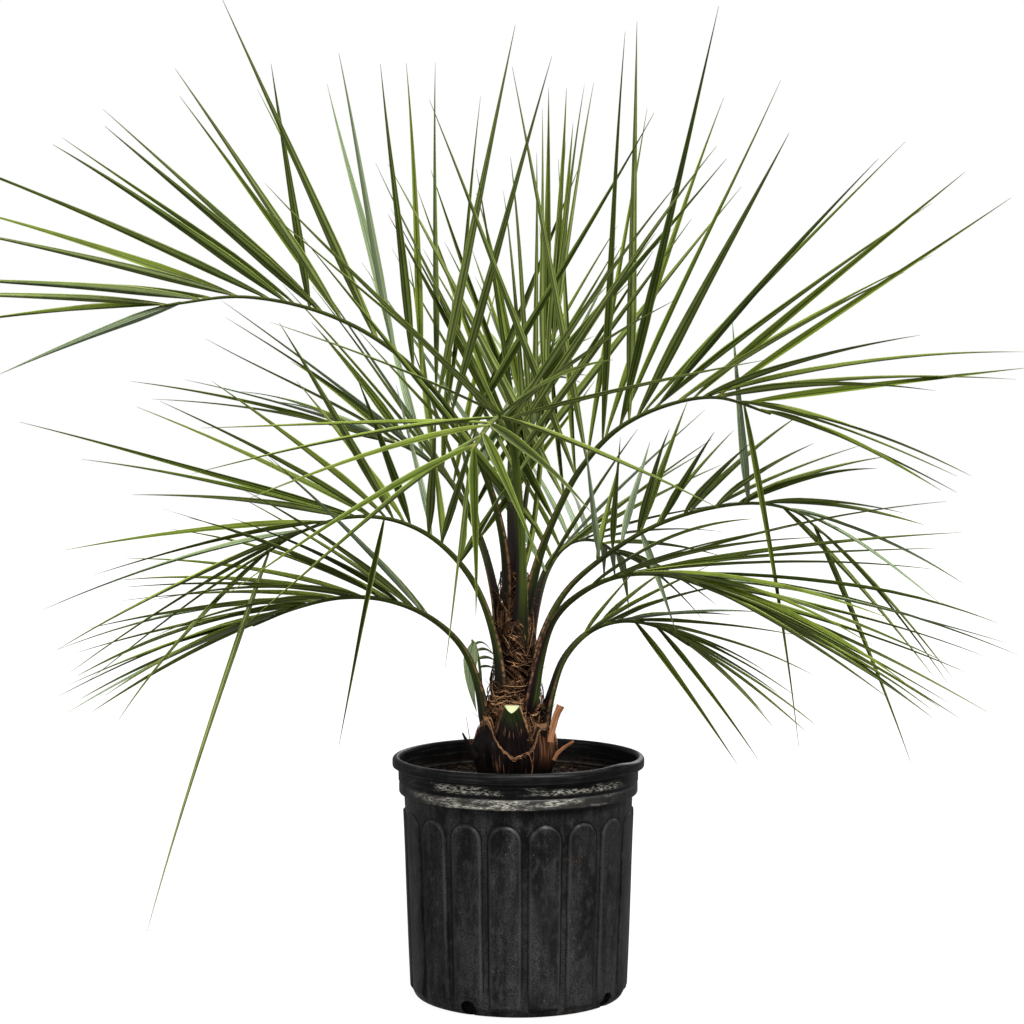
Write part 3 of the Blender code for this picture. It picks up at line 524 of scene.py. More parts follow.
class Obstacles:
    """Round-ended rods that new leaflets have to miss."""

    def __init__(self):
        self.start = np.empty((0, 3))
        self.end = np.empty((0, 3))
        self.radii = np.empty((0, 2))
        self.owner = np.empty(0, int)

    def add(self, line, radii, owner):
        radii = np.array(radii)
        self.start = np.vstack([self.start, line[:-1]])
        self.end = np.vstack([self.end, line[1:]])
        self.radii = np.vstack([self.radii, np.column_stack([radii[:-1], radii[1:]])])
        self.owner = np.append(self.owner, np.full(len(line) - 1, owner))

    def least_gap(self, line, radii, owner):
        """Least gap from a line of rods to those of other owners. Its own frond's rods are joined to it."""
        others = self.owner != owner
        least = 1.0
        for a, b, thick_a, thick_b in zip(line, line[1:], radii, radii[1:]):
            gaps = rod_gaps(a, b, (thick_a, thick_b), self.start[others], self.end[others], self.radii[others])
            least = min(least, gaps.min(initial=1.0))
        return least


def rod_gaps(a, b, thick, starts, ends, radii):
    """Gap between one tapered rod and each of many."""
    u = b - a
    v = ends - starts
    r = a - starts
    uu, uv, vv = u.dot(u), v @ u, (v * v).sum(1)
    ur, vr = r @ u, (v * r).sum(1)
    slope = np.maximum(uu * vv - uv**2, 1e-12)
    s = np.clip((uv * vr - ur * vv) / slope, 0, 1)
    t = np.clip((uv * s + vr) / vv, 0, 1)
    s = np.clip((uv * t - ur) / uu, 0, 1)
    apart = np.linalg.norm(r + s[:, None] * u - t[:, None] * v, axis=1)
    return apart - blend(thick, s) - blend((radii[:, 0], radii[:, 1]), t)


def swung_clear(place, direction, length, droop, obstacles, owner):
    """The leaflet's direction, swung in widening turns until its line misses every other frond, or None."""
    side = unit(np.cross(direction, UP))
    other = np.cross(direction, side)
    for swing in range(SWINGS):
        angle = SWING_STEP * math.sqrt(swing)
        turn = GOLDEN_TURN * swing
        trial = unit(direction + math.tan(angle) * (math.cos(turn) * side + math.sin(turn) * other))
        line = bent(place, trial, length, droop, LEAFLET_SHARES)
        if obstacles.least_gap(line, LEAFLET_HALF_WIDTHS, owner) > CLEARANCE:
            obstacles.add(line, LEAFLET_HALF_WIDTHS, owner)
            return trial
    return None


def frond_layout():
    """For each frond its midrib's line and its leaflets, each as (root, along, direction, length, droop)."""
    rng = np.random.default_rng(SEED)
    ways = {name: smooth_way(plan["way"], WAY_POINTS) for name, plan in FRONDS.items()}
    obstacles = Obstacles()
    heights, radii = np.array(STEM_KEEP_OUT).T
    obstacles.add(around(0, 0, heights, STEM_X), radii, -1)
    spear = smooth_way(SPEAR_WAY, WAY_POINTS)[::2 * ROD_SPACING]
    obstacles.add(spear, np.interp(np.linspace(0, 1, len(spear)), SPEAR_SHARES, SPEAR_HALF_WIDTHS), -1)
    for owner, name in enumerate(FRONDS):
        rods = ways[name][::ROD_SPACING]
        obstacles.add(rods, np.linspace(*FRONDS[name]["radius"], len(rods)) / 1000 + GAP, owner)
    layout = {}
    for owner, (name, plan) in enumerate(FRONDS.items()):
        leaflets = []
        for place, along, direction, length, droop in planned_leaflets(plan, ways[name], rng):
            direction = swung_clear(place, direction, length, droop, obstacles, owner)
            if direction is not None:
                leaflets.append((place, along, direction, length, droop))
        layout[name] = (ways[name], leaflets)
    return layout


class Shape:
    """One piece while it is made: its points, its faces and the values that its materials read."""

    def __init__(self):
        self.points = []
        self.faces = []
        self.looks = []
        self.values = {"along": [], "across": [], "tint": [], "mark": [], "shade": []}

    def add(self, points, faces, look=0, **values):
        """Adds points and faces. A value is one number for all the points, or one for each."""
        first = len(self.points)
        self.points.extend(points)
        self.faces.extend([[first + corner for corner in face] for face in faces])
        self.looks.extend([look] * len(faces))
        for key, known in self.values.items():
            known.extend(np.broadcast_to(values.get(key, 0.0), (len(points),)))

    def loft(self, rings, along, across=0.0, caps=True, **other):
        """Skins rings of equally many points, with along given for each ring and across for each point."""
        count = len(rings[0])
        total = count * len(rings)
        faces = []
        for low in range(0, total - count, count):
            for i in range(count):
                j = (i + 1) % count
                faces.append((low + i, low + j, low + count + j, low + count + i))
        if caps:
            faces += [range(count)[::-1], range(total - count, total)]
        across = np.tile(np.broadcast_to(across, (count,)), len(rings))
        self.add(np.reshape(rings, (total, 3)), faces, along=np.repeat(along, count), across=across, **other)

    def thread(self, line, radii, **values):
        """A fine strand along a line of points, closed at both ends."""
        line = np.array(line)
        radii = np.broadcast_to(radii, (len(line),))
        rings = []
        for k, point in enumerate(line):
            tangent = unit(line[min(k + 1, len(line) - 1)] - line[max(k - 1, 0)])
            helper = UP if abs(tangent[2]) < 0.8 else np.array([1.0, 0.0, 0.0])
            side = unit(np.cross(helper, tangent))
            rings.append(oval(point, side, np.cross(tangent, side), radii[k], radii[k], 4))
        self.loft(rings, np.linspace(0, 1, len(line)), look=1, **values)

    def finish(self, node, materials, smooth_below=40):
        """The piece as an object that rides on the part and stands for one of its solids."""
        mesh = bpy.data.meshes.new(node + "_fine")
        mesh.from_pydata([tuple(point) for point in self.points], [], [tuple(face) for face in self.faces])
        for key, value in self.values.items():
            mesh.attributes.new(key, "FLOAT", "POINT").data.foreach_set("value", np.array(value, np.float32))
        for material in materials:
            mesh.materials.append(material)
        mesh.polygons.foreach_set("material_index", self.looks)
        bm = bmesh.new()
        bm.from_mesh(mesh)
        bmesh.ops.recalc_face_normals(bm, faces=bm.faces[:])
        bm.to_mesh(mesh)
        bm.free()
        mesh.shade_smooth()
        mesh.set_sharp_from_angle(angle=math.radians(smooth_below))
        piece = new_object(mesh.name, mesh)
        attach(piece, "root")
        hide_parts(node)
        return piece


def new_object(name, data):
    thing = bpy.data.objects.new(name, data)
    bpy.context.scene.collection.objects.link(thing)
    return thing


def section(place, side, face, out, up):
    """Points of a cross-section, given how far each lies along its side and its face."""
    return place + np.outer(out, side) + np.outer(up, face)


def oval(place, side, face, half_width, half_height, sides):
    turns = full_turn(sides)
    return section(place, side, face, half_width * np.cos(turns), half_height * np.sin(turns))


def stem_radius(height):
    return np.interp(height, [z for _, z in STEM_PROFILE], [r for r, _ in STEM_PROFILE])


def on_stem(bearing, height, out=0.0):
    """The point of the stem at a bearing and height, out from its surface."""
    return around(bearing, stem_radius(height) + out, height, STEM_X)


class Value:
    """A number or vector on its way through a material's nodes."""

    def __init__(self, paint, socket):
        self.paint = paint
        self.socket = socket

    def math(self, operation, other=0.0):
        return self.paint.node("Math", 0, {0: self, 1: other}, operation=operation)

    def __mul__(self, other):
        return self.math("MULTIPLY", other)

    def __add__(self, other):
        return self.math("ADD", other)

    def __abs__(self):
        return self.math("ABSOLUTE")

    def most(self, other):
        return self.math("MAXIMUM", other)

    def span(self, low, high, start=0.0, end=1.0):
        """The run from low to high, turned smoothly into start to end."""
        wires = dict(enumerate((self, low, high, start, end)))
        return self.paint.node("MapRange", 0, wires, interpolation_type="SMOOTHSTEP")


class Paint:
    """A Principled material that is built up node by node, with a colour that more is laid over."""

    def __init__(self, name, roughness=0.5, specular=0.5):
        self.material = bpy.data.materials.new(name)
        self.material.use_nodes = True
        self.nodes = self.material.node_tree.nodes
        self.shader = self.nodes["Principled BSDF"]
        self.put(self.shader.inputs["Roughness"], roughness)
        self.put(self.shader.inputs["Specular IOR Level"], specular)
        self.place = self.node("TexCoord", "Object", {})
        self.colour = None

    def put(self, socket, value):
        if isinstance(value, Value):
            self.material.node_tree.links.new(value.socket, socket)
        elif socket.type == "RGBA":
            socket.default_value = (*value, 1)
        else:
            socket.default_value = value

    def node(self, kind, result, wires, **settings):
        """One of the results of a new node, given what goes into its sockets and its settings."""
        node = self.nodes.new("ShaderNode" + kind)
        for name, setting in settings.items():
            setattr(node, name, setting)
        for socket, value in wires.items():
            self.put(node.inputs[socket], value)
        return Value(self, node.outputs[result])

    def read(self, *names):
        """The values that the piece's points carry under these names."""
        return [self.node("Attribute", "Fac", {}, attribute_name=name) for name in names]

    def along_axis(self, number):
        return self.node("SeparateXYZ", number, {0: self.place})

    def noise(self, scale, detail=4.0, roughness=0.55, at=None):
        """Noise over the piece. scale is one number, or one for each axis."""
        at = self.place if at is None else at
        if isinstance(scale, tuple):
            at = self.node("Mapping", 0, {"Vector": at, "Scale": scale})
            scale = 1.0
        wires = {"Vector": at, "Scale": scale, "Detail": detail, "Roughness": roughness}
        return self.node("TexNoise", "Fac", wires)

    def drawn(self, x, y, z, detail=4.0, roughness=0.55):
        """Noise over three values, such as those along and across a piece."""
        return self.noise(1.0, detail, roughness, self.node("CombineXYZ", 0, {0: x, 1: y, 2: z}))

    def spots(self, scale):
        """Distance to the nearest of many scattered points."""
        return self.node("TexVoronoi", "Distance", {"Vector": self.place, "Scale": scale})

    def mix(self, share, a, b):
        factor, first, second, result = 0, 6, 7, 2
        return self.node("Mix", result, {factor: share, first: a, second: b}, data_type="RGBA")

    def lay(self, share, colour):
        """Lays a colour over what is there, by a share."""
        self.colour = self.mix(share, self.colour, colour)

    def done(self, roughness=None, height=None, depth=0.0005, strength=0.6):
        self.put(self.shader.inputs["Base Color"], self.colour)
        if roughness is not None:
            self.put(self.shader.inputs["Roughness"], roughness)
        if height is not None:
            wires = {"Strength": strength, "Distance": depth, "Height": height}
            self.put(self.shader.inputs["Normal"], self.node("Bump", 0, wires))
        return self.material


def leaf_material():
    """Leaflets: stiff green blades with fine veins and paler undersides, a painted highlight along their edges,
    painted shade in the fold by the keel, and a few dry tips.

    along runs from root to tip, across from edge to edge, tint tells leaflets apart,
    mark is the leaflet's paleness, below zero on its underside, and shade how whitish it is: in pleats and on
    short leaflets, and on mint ones as a painted glow of light shining through from behind.
    """
    paint = Paint("leaf", specular=0.10)
    along, across, tint, mark, shade = paint.read("along", "across", "tint", "mark", "shade")
    veins = paint.drawn(across * 9.0, along, tint * 40.0, 3.0)
    inward, paleness = abs(across), abs(mark)
    deep = paint.mix(tint, (0.0050, 0.0105, 0.0009), (0.022, 0.033, 0.0034))
    fresh = paint.mix(tint, (0.115, 0.170, 0.014), (0.275, 0.350, 0.048))
    paint.colour = paint.mix(paleness, deep, fresh)
    paint.lay(mark.math("LESS_THAN", 0.0), paint.mix(paleness, (0.034, 0.060, 0.008), (0.430, 0.510, 0.180)))
    paint.lay(veins.span(0.44, 0.62, 0.0, 0.65), (0.215, 0.290, 0.040))
    paint.lay(paint.noise(22.0, 3.0).span(0.45, 0.75, 0.0, 0.40), (0.008, 0.016, 0.003))
    # Painted shade: darker in the fold along the keel.
    paint.lay(inward.span(0.06, 0.34, 0.70, 0.0), (0.010, 0.020, 0.002))
    # Painted highlight: a bright thin line along both edges.
    paint.lay(inward.span(0.76, 1.0, 0.0, 0.80), (0.460, 0.540, 0.150))
    pleats = (across * 14.0).math("SINE").span(-0.7, 0.7, 0.30, 1.0)
    # Whitish stripes of the pleated leaf and the short leaflets, and a painted glow of backlight on the mint
    # leaflets.
    paint.lay(shade * pleats * veins.span(0.36, 0.56, 0.60, 1.0), (0.450, 0.560, 0.390))
    paint.lay(along.span(0.0, 0.035, 0.75, 0.0), (0.330, 0.330, 0.095))
    paint.lay(along.span(0.945, 1.0) * tint.span(0.45, 0.80), (0.190, 0.095, 0.035))
    return paint.done(veins.span(0.3, 0.7, 0.34, 0.52), veins, depth=0.0004, strength=0.5)


def stalk_material():
    """Stalks: green and streaked, purple-brown and fibrous at the foot, with ragged tan margins there.

    along runs from foot to tip, across from margin to margin, mark is how pale the frond is
    and shade how purple the side, or -1 where it stays green down to the foot.
    """
    paint = Paint("stalk", specular=0.16)
    along, across, tint, mark, shade = paint.read("along", "across", "tint", "mark", "shade")
    lines = paint.drawn(across * 7.0, along * 6.0, tint)
    patches = paint.noise(60.0, 5.0)
    paleness = mark * along.span(0.10, 0.60, 0.55, 1.25)
    paint.colour = paint.mix(paleness, (0.009, 0.018, 0.0022), (0.150, 0.205, 0.036))
    paint.lay(lines.span(0.46, 0.66, 0.0, 0.55), (0.095, 0.150, 0.022))
    paint.lay(lines.span(0.34, 0.50, 0.65, 0.0), (0.009, 0.015, 0.003))
    paint.lay(shade * along.span(0.22, 0.50, 1.0, 0.0), (0.020, 0.011, 0.012))
    low = (along + patches * 0.12).span(0.13, 0.30, 1.0, 0.0) * shade.span(-1.0, 0.2, 0.05, 0.90)
    dark_foot = paint.mix(lines.span(0.52, 0.66, 0.0, 0.6), (0.010, 0.0055, 0.006), (0.052, 0.026, 0.018))
    paint.lay(low.most(along.span(0.03, 0.07, 1.0, 0.0)), dark_foot)
    margin = abs(across).span(0.93, 0.99) * along.span(0.14, 0.42, 1.0, 0.12)
    ragged = paint.noise(210.0).span(0.44, 0.56, 0.15, 1.0)
    paint.lay(margin * ragged, paint.mix(patches, (0.090, 0.034, 0.016), (0.520, 0.270, 0.140)))
    return paint.done(lines.span(0.3, 0.7, 0.38, 0.58), lines, depth=0.0006)


def tooth_material():
    paint = Paint("tooth", roughness=0.6, specular=0.3)
    paint.colour = paint.mix(paint.noise(300.0, 3.0), (0.060, 0.026, 0.014), (0.230, 0.120, 0.060))
    return paint.done()


def strand_material(dark, light):
    """Dry strands, each of its own brown."""
    paint = Paint("strand", roughness=0.75, specular=0.10)
    tint, along = paint.read("tint", "along")
    grain = paint.noise(450.0)
    paint.colour = paint.mix(tint, dark, light)
    paint.lay(grain.span(0.35, 0.70, 0.0, 0.7), tuple(0.35 * part for part in dark))
    paint.lay(along.span(0.9, 1.0, 0.0, 0.4), light)
    return paint.done(height=grain, depth=0.0003)


def core_material():
    """The matted web under the strands: dark brown, taken to near black as painted shade in the gaps between
    them.
    """
    paint = Paint("stem_core", roughness=0.9, specular=0.08)
    slant = paint.noise((260.0, 260.0, 700.0))
    # Painted shade: the core is near black, so the gaps between the strands read dark.
    paint.colour = paint.mix(slant.span(0.42, 0.66), (0.0024, 0.0014, 0.0011), (0.017, 0.0085, 0.0052))
    paint.lay(paint.noise(90.0, 5.0).span(0.50, 0.72, 0.0, 0.5), (0.030, 0.014, 0.008))
    return paint.done(height=slant, depth=0.0015, strength=0.8)


def husk_material(name, green, dark_pith, light_pith):
    """Old leaf bases: dark husk with tan streaks and frayed edges, and the pith where one was cut.

    mark is 1 on a cut face, tint is 1 on a frayed edge and shade is how light a torn strip is; on the husk it
    is painted light on the side towards the key light, over its tan torn fibres.
    """
    paint = Paint(name, specular=0.12)
    along, across, tint, mark, shade = paint.read("along", "across", "tint", "mark", "shade")
    streaks = paint.drawn(across * 9.0, along * 1.5, 0.0, 6.0, 0.6)
    patches = paint.noise(70.0, 5.0)
    paint.colour = paint.mix(streaks.span(0.38, 0.66), (0.0026, 0.0014, 0.0016), (0.013, 0.0075, 0.0078))
    paint.lay(streaks.span(0.54, 0.64) * paint.noise(28.0, 3.0).span(0.53, 0.60) * 0.85, (0.400, 0.200, 0.105))
    paint.lay(patches.span(0.56, 0.72, 0.0, 0.45), (0.034, 0.020, 0.020))
    paint.lay(along.span(0.62, 0.96) * streaks.span(0.36, 0.58, 0.15, 1.0) * green, (0.022, 0.036, 0.006))
    paint.lay(tint * patches.span(0.36, 0.52), (0.300, 0.160, 0.080))
    # Torn strips, and on the husk painted light over the tan fibres of its sunny side.
    paint.lay(shade, paint.mix(streaks.span(0.30, 0.70), (0.260, 0.090, 0.036), (0.760, 0.360, 0.180)))
    pith = paint.mix(paint.spots(900.0).span(0.15, 0.45), dark_pith, light_pith)
    paint.lay(mark, paint.mix(patches.span(0.50, 0.75, 0.0, 0.6), pith, (0.200, 0.120, 0.060)))
    return paint.done(patches.span(0.3, 0.7, 0.34, 0.70), streaks, depth=0.0012)


def soil_material():
    paint = Paint("soil", roughness=0.95, specular=0.15)
    [bark] = paint.read("tint")
    crumbs = paint.spots(260.0)
    clumps = paint.noise(45.0, 6.0)
    # Painted shade: low in the pot, where it shows through the drain holes, the soil goes near black, with
    # rust-coloured flecks.
    shade_and_rust_flecks = paint.mix(clumps.span(0.60, 0.68, 0.0, 0.9), (0.001, 0.0008, 0.0007), (0.260, 0.085, 0.026))
    paint.colour = paint.mix(clumps, (0.0028, 0.0017, 0.0013), (0.015, 0.0090, 0.0060))
    paint.lay(crumbs.span(0.05, 0.30, 0.5, 0.0), (0.045, 0.025, 0.015))
    paint.lay(bark, (0.120, 0.072, 0.048))
    paint.lay(paint.along_axis(2).span(0.05, 0.15, 1.0, 0.0), shade_and_rust_flecks)
    return paint.done(height=crumbs, depth=0.002, strength=0.9)


def plastic_material():
    """Black nursery plastic, dusty and scuffed, with chalky residue on the front of its bands, painted
    highlights on its raised edges, painted shade in its grooves and a painted sheen on its upper band and lip.

    mark is 1 where a highlight is painted: on the rounded border of a raised panel, the lip's crest and bottom
    edge, the lower band's top edge and the ledge inside at the groove; it is -1 where shade is painted, in the
    groove round a panel.
    along is 1 inside the pot.
    """
    paint = Paint("pot_plastic", specular=0.14)
    inside, mark = paint.read("along", "mark")
    x, y, z = (paint.along_axis(number) for number in range(3))
    cloud = paint.noise(14.0, 6.0, 0.6)
    grain = paint.noise(420.0, 4.0, 0.6)
    drawn = paint.noise((60.0, 60.0, 9.0), 6.0, 0.6)
    mottle = paint.noise((130.0, 130.0, 75.0), 7.0, 0.70)
    sheen_streaks = paint.noise((22.0, 22.0, 420.0), 5.0, 0.6)
    paint.colour = paint.mix(cloud.span(0.35, 0.70), (0.0024, 0.0024, 0.0026), (0.0125, 0.0125, 0.0130))
    paint.lay(mottle.span(0.46, 0.70, 0.0, 0.8), (0.0420, 0.0420, 0.0430))
    fine = paint.noise(1100.0, 3.0, 0.6)
    paint.lay(fine.span(0.38, 0.66) * drawn.span(0.38, 0.64, 0.08, 0.85), (0.078, 0.078, 0.080))
    specks = paint.spots(170.0).span(0.04, 0.11, 1.0, 0.0) * mottle.span(0.46, 0.60)
    paint.lay(specks * 0.70, (0.300, 0.295, 0.285))
    # Painted sheen in streaks on the upper band and lip.
    rim = paint.mix(sheen_streaks.span(0.50, 0.70, 0.0, 0.8), (0.0032, 0.0032, 0.0034), (0.0420, 0.0410, 0.0400))
    paint.lay(z.span(0.2215, 0.2240, 0.0, 0.85), rim)
    # Painted highlight on raised edges.
    paint.lay(mark.most(0.0) * drawn.span(0.34, 0.62, 0.10, 0.85), (0.066, 0.066, 0.067))
    # Painted shade in the grooves round the panels.
    paint.lay(mark.span(-0.9, -0.2, 0.85, 0.0), (0.0014, 0.0014, 0.0015))

    front = y.span(-0.050, -0.095)
    upper = front * z.span(0.2245, 0.2275) * z.span(0.2310, 0.2350, 1.0, 0.0)
    lower = front * z.span(0.2098, 0.2115) * z.span(0.2195, 0.2216, 1.0, 0.0)
    scale = paint.noise((210.0, 210.0, 900.0), 9.0, 0.75)
    strong = paint.noise((22.0, 22.0, 90.0), 5.0)
    dashes = upper * scale.span(0.48, 0.58) * strong.span(0.44, 0.56)
    chalk = dashes.most(lower * scale.span(0.46, 0.58) * strong.span(0.44, 0.58))
    paint.lay(lower * strong.span(0.36, 0.58, 0.14, 0.60), (0.105, 0.098, 0.084))
    paint.lay(chalk * 0.95, (0.700, 0.680, 0.580))

    away = paint.node("VectorMath", "Value", {0: paint.place, 1: MUD_PLACE}, operation="DISTANCE")
    mud = away.span(0.004, 0.020, 0.7, 0.0) * grain.span(0.52, 0.66)
    foot_dirt = z.span(0.0, 0.016, 0.5, 0.0) * drawn.span(0.46, 0.62) * x.span(0.020, 0.045)
    tide = inside * z.span(0.214, 0.236, 1.0, 0.0) * scale.span(0.44, 0.60)
    paint.lay(mud.most(foot_dirt).most(tide) * 0.55, (0.130, 0.070, 0.038))
    gloss = cloud.span(0.35, 0.7, 0.34, 0.50).most(chalk * 0.9)
    return paint.done(gloss, grain + chalk * 0.8, depth=0.0004, strength=0.5)


def floor_material():
    paint = Paint("floor", roughness=0.9, specular=0.1)
    paint.put(paint.shader.inputs["Emission Color"], (1, 1, 1))
    paint.put(paint.shader.inputs["Emission Strength"], FLOOR_GLOW)
    paint.colour = paint.mix(paint.noise(3.0, 2.0), *([grey] * 3 for grey in FLOOR_GREYS))
    return paint.done()


def blade_half_width(share, widest):
    """Pinched at the root, widest a quarter of the way along, then tapering to a thread."""
    if share < BLADE_WIDEST:
        return blend((BLADE_ROOT, widest), math.sin(math.pi / 2 * share / BLADE_WIDEST) ** 0.8)
    run = (share - BLADE_WIDEST) / (1 - BLADE_WIDEST)
    return BLADE_TIP + (widest - BLADE_TIP) * (1 - run**BLADE_TAPER)


def add_blade(shape, leaflet, rng, plan, pleated):
    """A folded leaflet: both faces of two arched halves, a ribbed keel below and a swollen root."""
    place, along, direction, length, droop = leaflet
    widest = BLADE_HALF_WIDTH * rng.uniform(*BLADE_WIDTHS) * min(1, length / SHORT_LEAFLET) ** 0.6
    if pleated:
        widest, along, length = PLEATED_HALF_WIDTH, np.array([1.0, 0.0, 0.0]), length * PLEATED_LENGTH
    elif direction[2] < HANGING:
        widest *= HANGING_NARROWING
    fold = FOLD + rng.normal(0, FOLD_SPREAD)
    twist = rng.normal(0, BLADE_TWIST)
    pale = np.clip(plan["pale"] + rng.normal(0, BLADE_PALENESS_SPREAD), 0.0, 1.0)
    s = BLADE_SHARES
    line = bent(place, direction, length, droop, s)
    aside = unit(np.cross(direction, rng.normal(0, 1, 3)))
    wave = rng.normal(0, 1) * s**2 * (1 - s) * 4 + rng.normal(0, 0.5) * np.sin(math.tau * s) * s
    line += BLADE_WAVE * length * np.outer(np.clip(wave, -2, 2), aside)
    if pleated:
        line[:, 0] -= PLEATED_BOW * np.sin(math.pi * s)
    inward = np.abs(BLADE_ACROSS)
    rings = []
    for share, point in zip(s, line):
        tangent = unit(direction - 2 * droop * share * UP)
        width = unit(along - tangent * along.dot(tangent))
        rise = np.cross(width, tangent)
        rise *= math.copysign(1, rise[2])
        cos, sin = math.cos(twist * share), math.sin(twist * share)
        width, rise = width * cos + rise * sin, rise * cos - width * sin
        half = blade_half_width(share, widest)
        opening = fold - ROOT_CLOSING * math.exp(-share / CLOSING_SHARE)
        thick = min(BLADE_THICKNESS, half * 0.5) / 2 + ROOT_SWELL * hump(share * length, 0, ROOT_LENGTH)
        height = half * (inward * math.cos(opening) - BLADE_ARCH * (1 - (2 * inward - 1) ** 2))
        height += BLADE_ABOVE * thick
        height[2] -= KEEL_RIB * min(1, half / widest)
        rings.append(section(point, width, rise, half * BLADE_ACROSS * math.sin(opening), height))
    # Mint leaflets: a painted glow of light shining through them from behind.
    whitish = MINT * (rng.uniform() < plan["minty"])
    if length < SHORT_LEAFLET:
        whitish = 1.0 if pleated else SHORT_WHITISH
    marks = np.tile(np.where(BLADE_ABOVE < 0, -pale, pale), len(rings))
    shape.loft(rings, s, BLADE_ACROSS, tint=rng.uniform(), mark=marks, shade=whitish)


def add_stalk(shape, name, way, rng):
    """Stalk and midrib: flat and channelled above, rounded below, flaring into a sheath at the foot."""
    shares = np.linspace(0, 1, STALK_RINGS)
    out, up = np.cos(full_turn(STALK_SIDES)), np.sin(full_turn(STALK_SIDES))
    face_up = np.where(up > 0, STALK_TOP * np.sqrt(np.abs(up)) - STALK_CHANNEL * (1 - np.abs(out)), up)
    rings = []
    for share in shares:
        place, _, side, face = frame_at(way, share)
        near_foot = hump(share, 0, FOOT_SHARE)
        size = blend(FRONDS[name]["radius"], share) / 1000 * math.sqrt(smooth(-0.02, 0.07, share))
        half_width = STALK_BREADTH * size * (1 + FOOT_FLARE * near_foot)
        half_depth = STALK_DEPTH * size * (1 + FOOT_DEPTH_FLARE * near_foot)
        rings.append(section(place, side, face, half_width * out, half_depth * face_up))
    purple = smooth(0.0, 0.6, up)
    if name == "frond_front":
        purple = smooth(0.1, -0.5, out)
    elif name == "frond_low_right":
        purple = 2 * smooth(-0.35, -0.75, out) - 1
    shades = np.tile(purple, len(rings))
    shape.loft(rings, shares, out, look=1, tint=rng.uniform(0, 9), mark=FRONDS[name]["pale"], shade=shades)


def add_teeth(shape, plan, way, rng):
    """Short spines along both margins of the stalk, below the first leaflets."""
    run = np.linalg.norm(np.diff(way, axis=0), axis=1).sum()
    count = int((plan["start"] - TEETH_START) * run / TOOTH_PITCH)
    for row in (-1, 1):
        for number in range(count):
            share = TEETH_START + (number + rng.uniform(0.1, 0.9)) * TOOTH_PITCH / run
            place, along, side, face = frame_at(way, share)
            radius = blend(plan["radius"], share) / 1000 * STALK_BREADTH
            size = TOOTH_LENGTH * rng.uniform(0.5, 1.2) * (1 - 0.5 * share / plan["start"])
            root = place + side * row * radius * TOOTH_OUT + face * TOOTH_UP * radius
            tip = root + unit(row * side + rng.uniform(0.3, 1.1) * along) * size
            base = section(root, along, face, size * TOOTH_ALONG, size * TOOTH_ACROSS)
            shape.add([*base, tip], [(3, 2, 1, 0), (0, 1, 4), (1, 2, 4), (2, 3, 4), (3, 0, 4)], look=2)


def make_frond(name, way, leaflets, materials):
    rng = draws(name)
    shape = Shape()
    add_stalk(shape, name, way, rng)
    add_teeth(shape, FRONDS[name], way, rng)
    for leaflet in leaflets:
        add_blade(shape, leaflet, rng, FRONDS[name], name == "frond_small" and leaflet is leaflets[-1])
    shape.finish(name, materials)


def rounded(profile):
    """A line through the same points, each of its corners turned into a short curve."""
    p = np.array(profile, float)
    line = [p[0]]
    for before, corner, after in zip(p, p[1:], p[2:]):
        start = corner + unit(before - corner) * min(CORNER_ROUND, 0.45 * np.linalg.norm(before - corner))
        end = corner + unit(after - corner) * min(CORNER_ROUND, 0.45 * np.linalg.norm(after - corner))
        for u in (0, 0.25, 0.5, 0.75, 1):
            line.append((1 - u) ** 2 * start + 2 * u * (1 - u) * corner + u**2 * end)
    return np.array([*line, p[-1]])


def pot_line():
    """The pot's outline, from the middle of its floor up the inside, over the lip and down to the base."""
    foot = WALL_FOOT_RADIUS - WALL
    neck = NECK_RADIUS - WALL
    band = NECK_RADIUS - BAND_STEP
    wall_top = (WALL_TOP_RADIUS, BAND_BOTTOM - 2 * BAND_STEP)
    upper = (
        (0.0, FLOOR), (foot - INNER_CORNER, FLOOR), (foot, FLOOR + INNER_CORNER),
        (WALL_TOP_RADIUS - WALL, BAND_BOTTOM - WALL), (neck, BAND_BOTTOM + WALL / 2), (neck, GROOVE_HEIGHT),
        (neck - 0.0009, GROOVE_HEIGHT + 0.0012), (neck + BAND_STEP, GROOVE_HEIGHT + 0.0030),
        (neck + BAND_STEP, POT_HEIGHT - 0.003), (LIP_RADIUS - LIP_CREST, POT_HEIGHT),
        (LIP_RADIUS - LIP_ROUND, POT_HEIGHT - 0.3 * LIP_ROUND), (LIP_RADIUS, POT_HEIGHT - 1.3 * LIP_ROUND),
        (LIP_RADIUS, LIP_BOTTOM + 0.0006), (LIP_RADIUS - 0.0008, LIP_BOTTOM),
        (NECK_RADIUS, LIP_BOTTOM - BAND_STEP), (NECK_RADIUS, GROOVE_HEIGHT + GROOVE_DEPTH),
        (NECK_RADIUS - 1.4 * GROOVE_DEPTH, GROOVE_HEIGHT),
        (band, GROOVE_HEIGHT - GROOVE_DEPTH), (band, BAND_BOTTOM + 0.0008), wall_top,
    )
    lower = (
        wall_top, (WALL_FOOT_RADIUS, FOOT_HEIGHT), (WALL_FOOT_RADIUS - 0.4 * FOOT_HEIGHT, 0.25 * FOOT_HEIGHT),
        (BASE_RADIUS, 0.0), (0.0, 0.0),
    )
    heights = [np.arange(top, end, -step) for (top, step), (end, _) in zip(WALL_ROWS, WALL_ROWS[1:])]
    wall = [(wall_radius(height), height) for height in np.concatenate(heights)]
    return np.vstack([rounded(upper), wall, rounded(lower)[1:]])


def wall_radius(height):
    return np.interp(height, (FOOT_HEIGHT, BAND_BOTTOM), (WALL_FOOT_RADIUS, WALL_TOP_RADIUS))


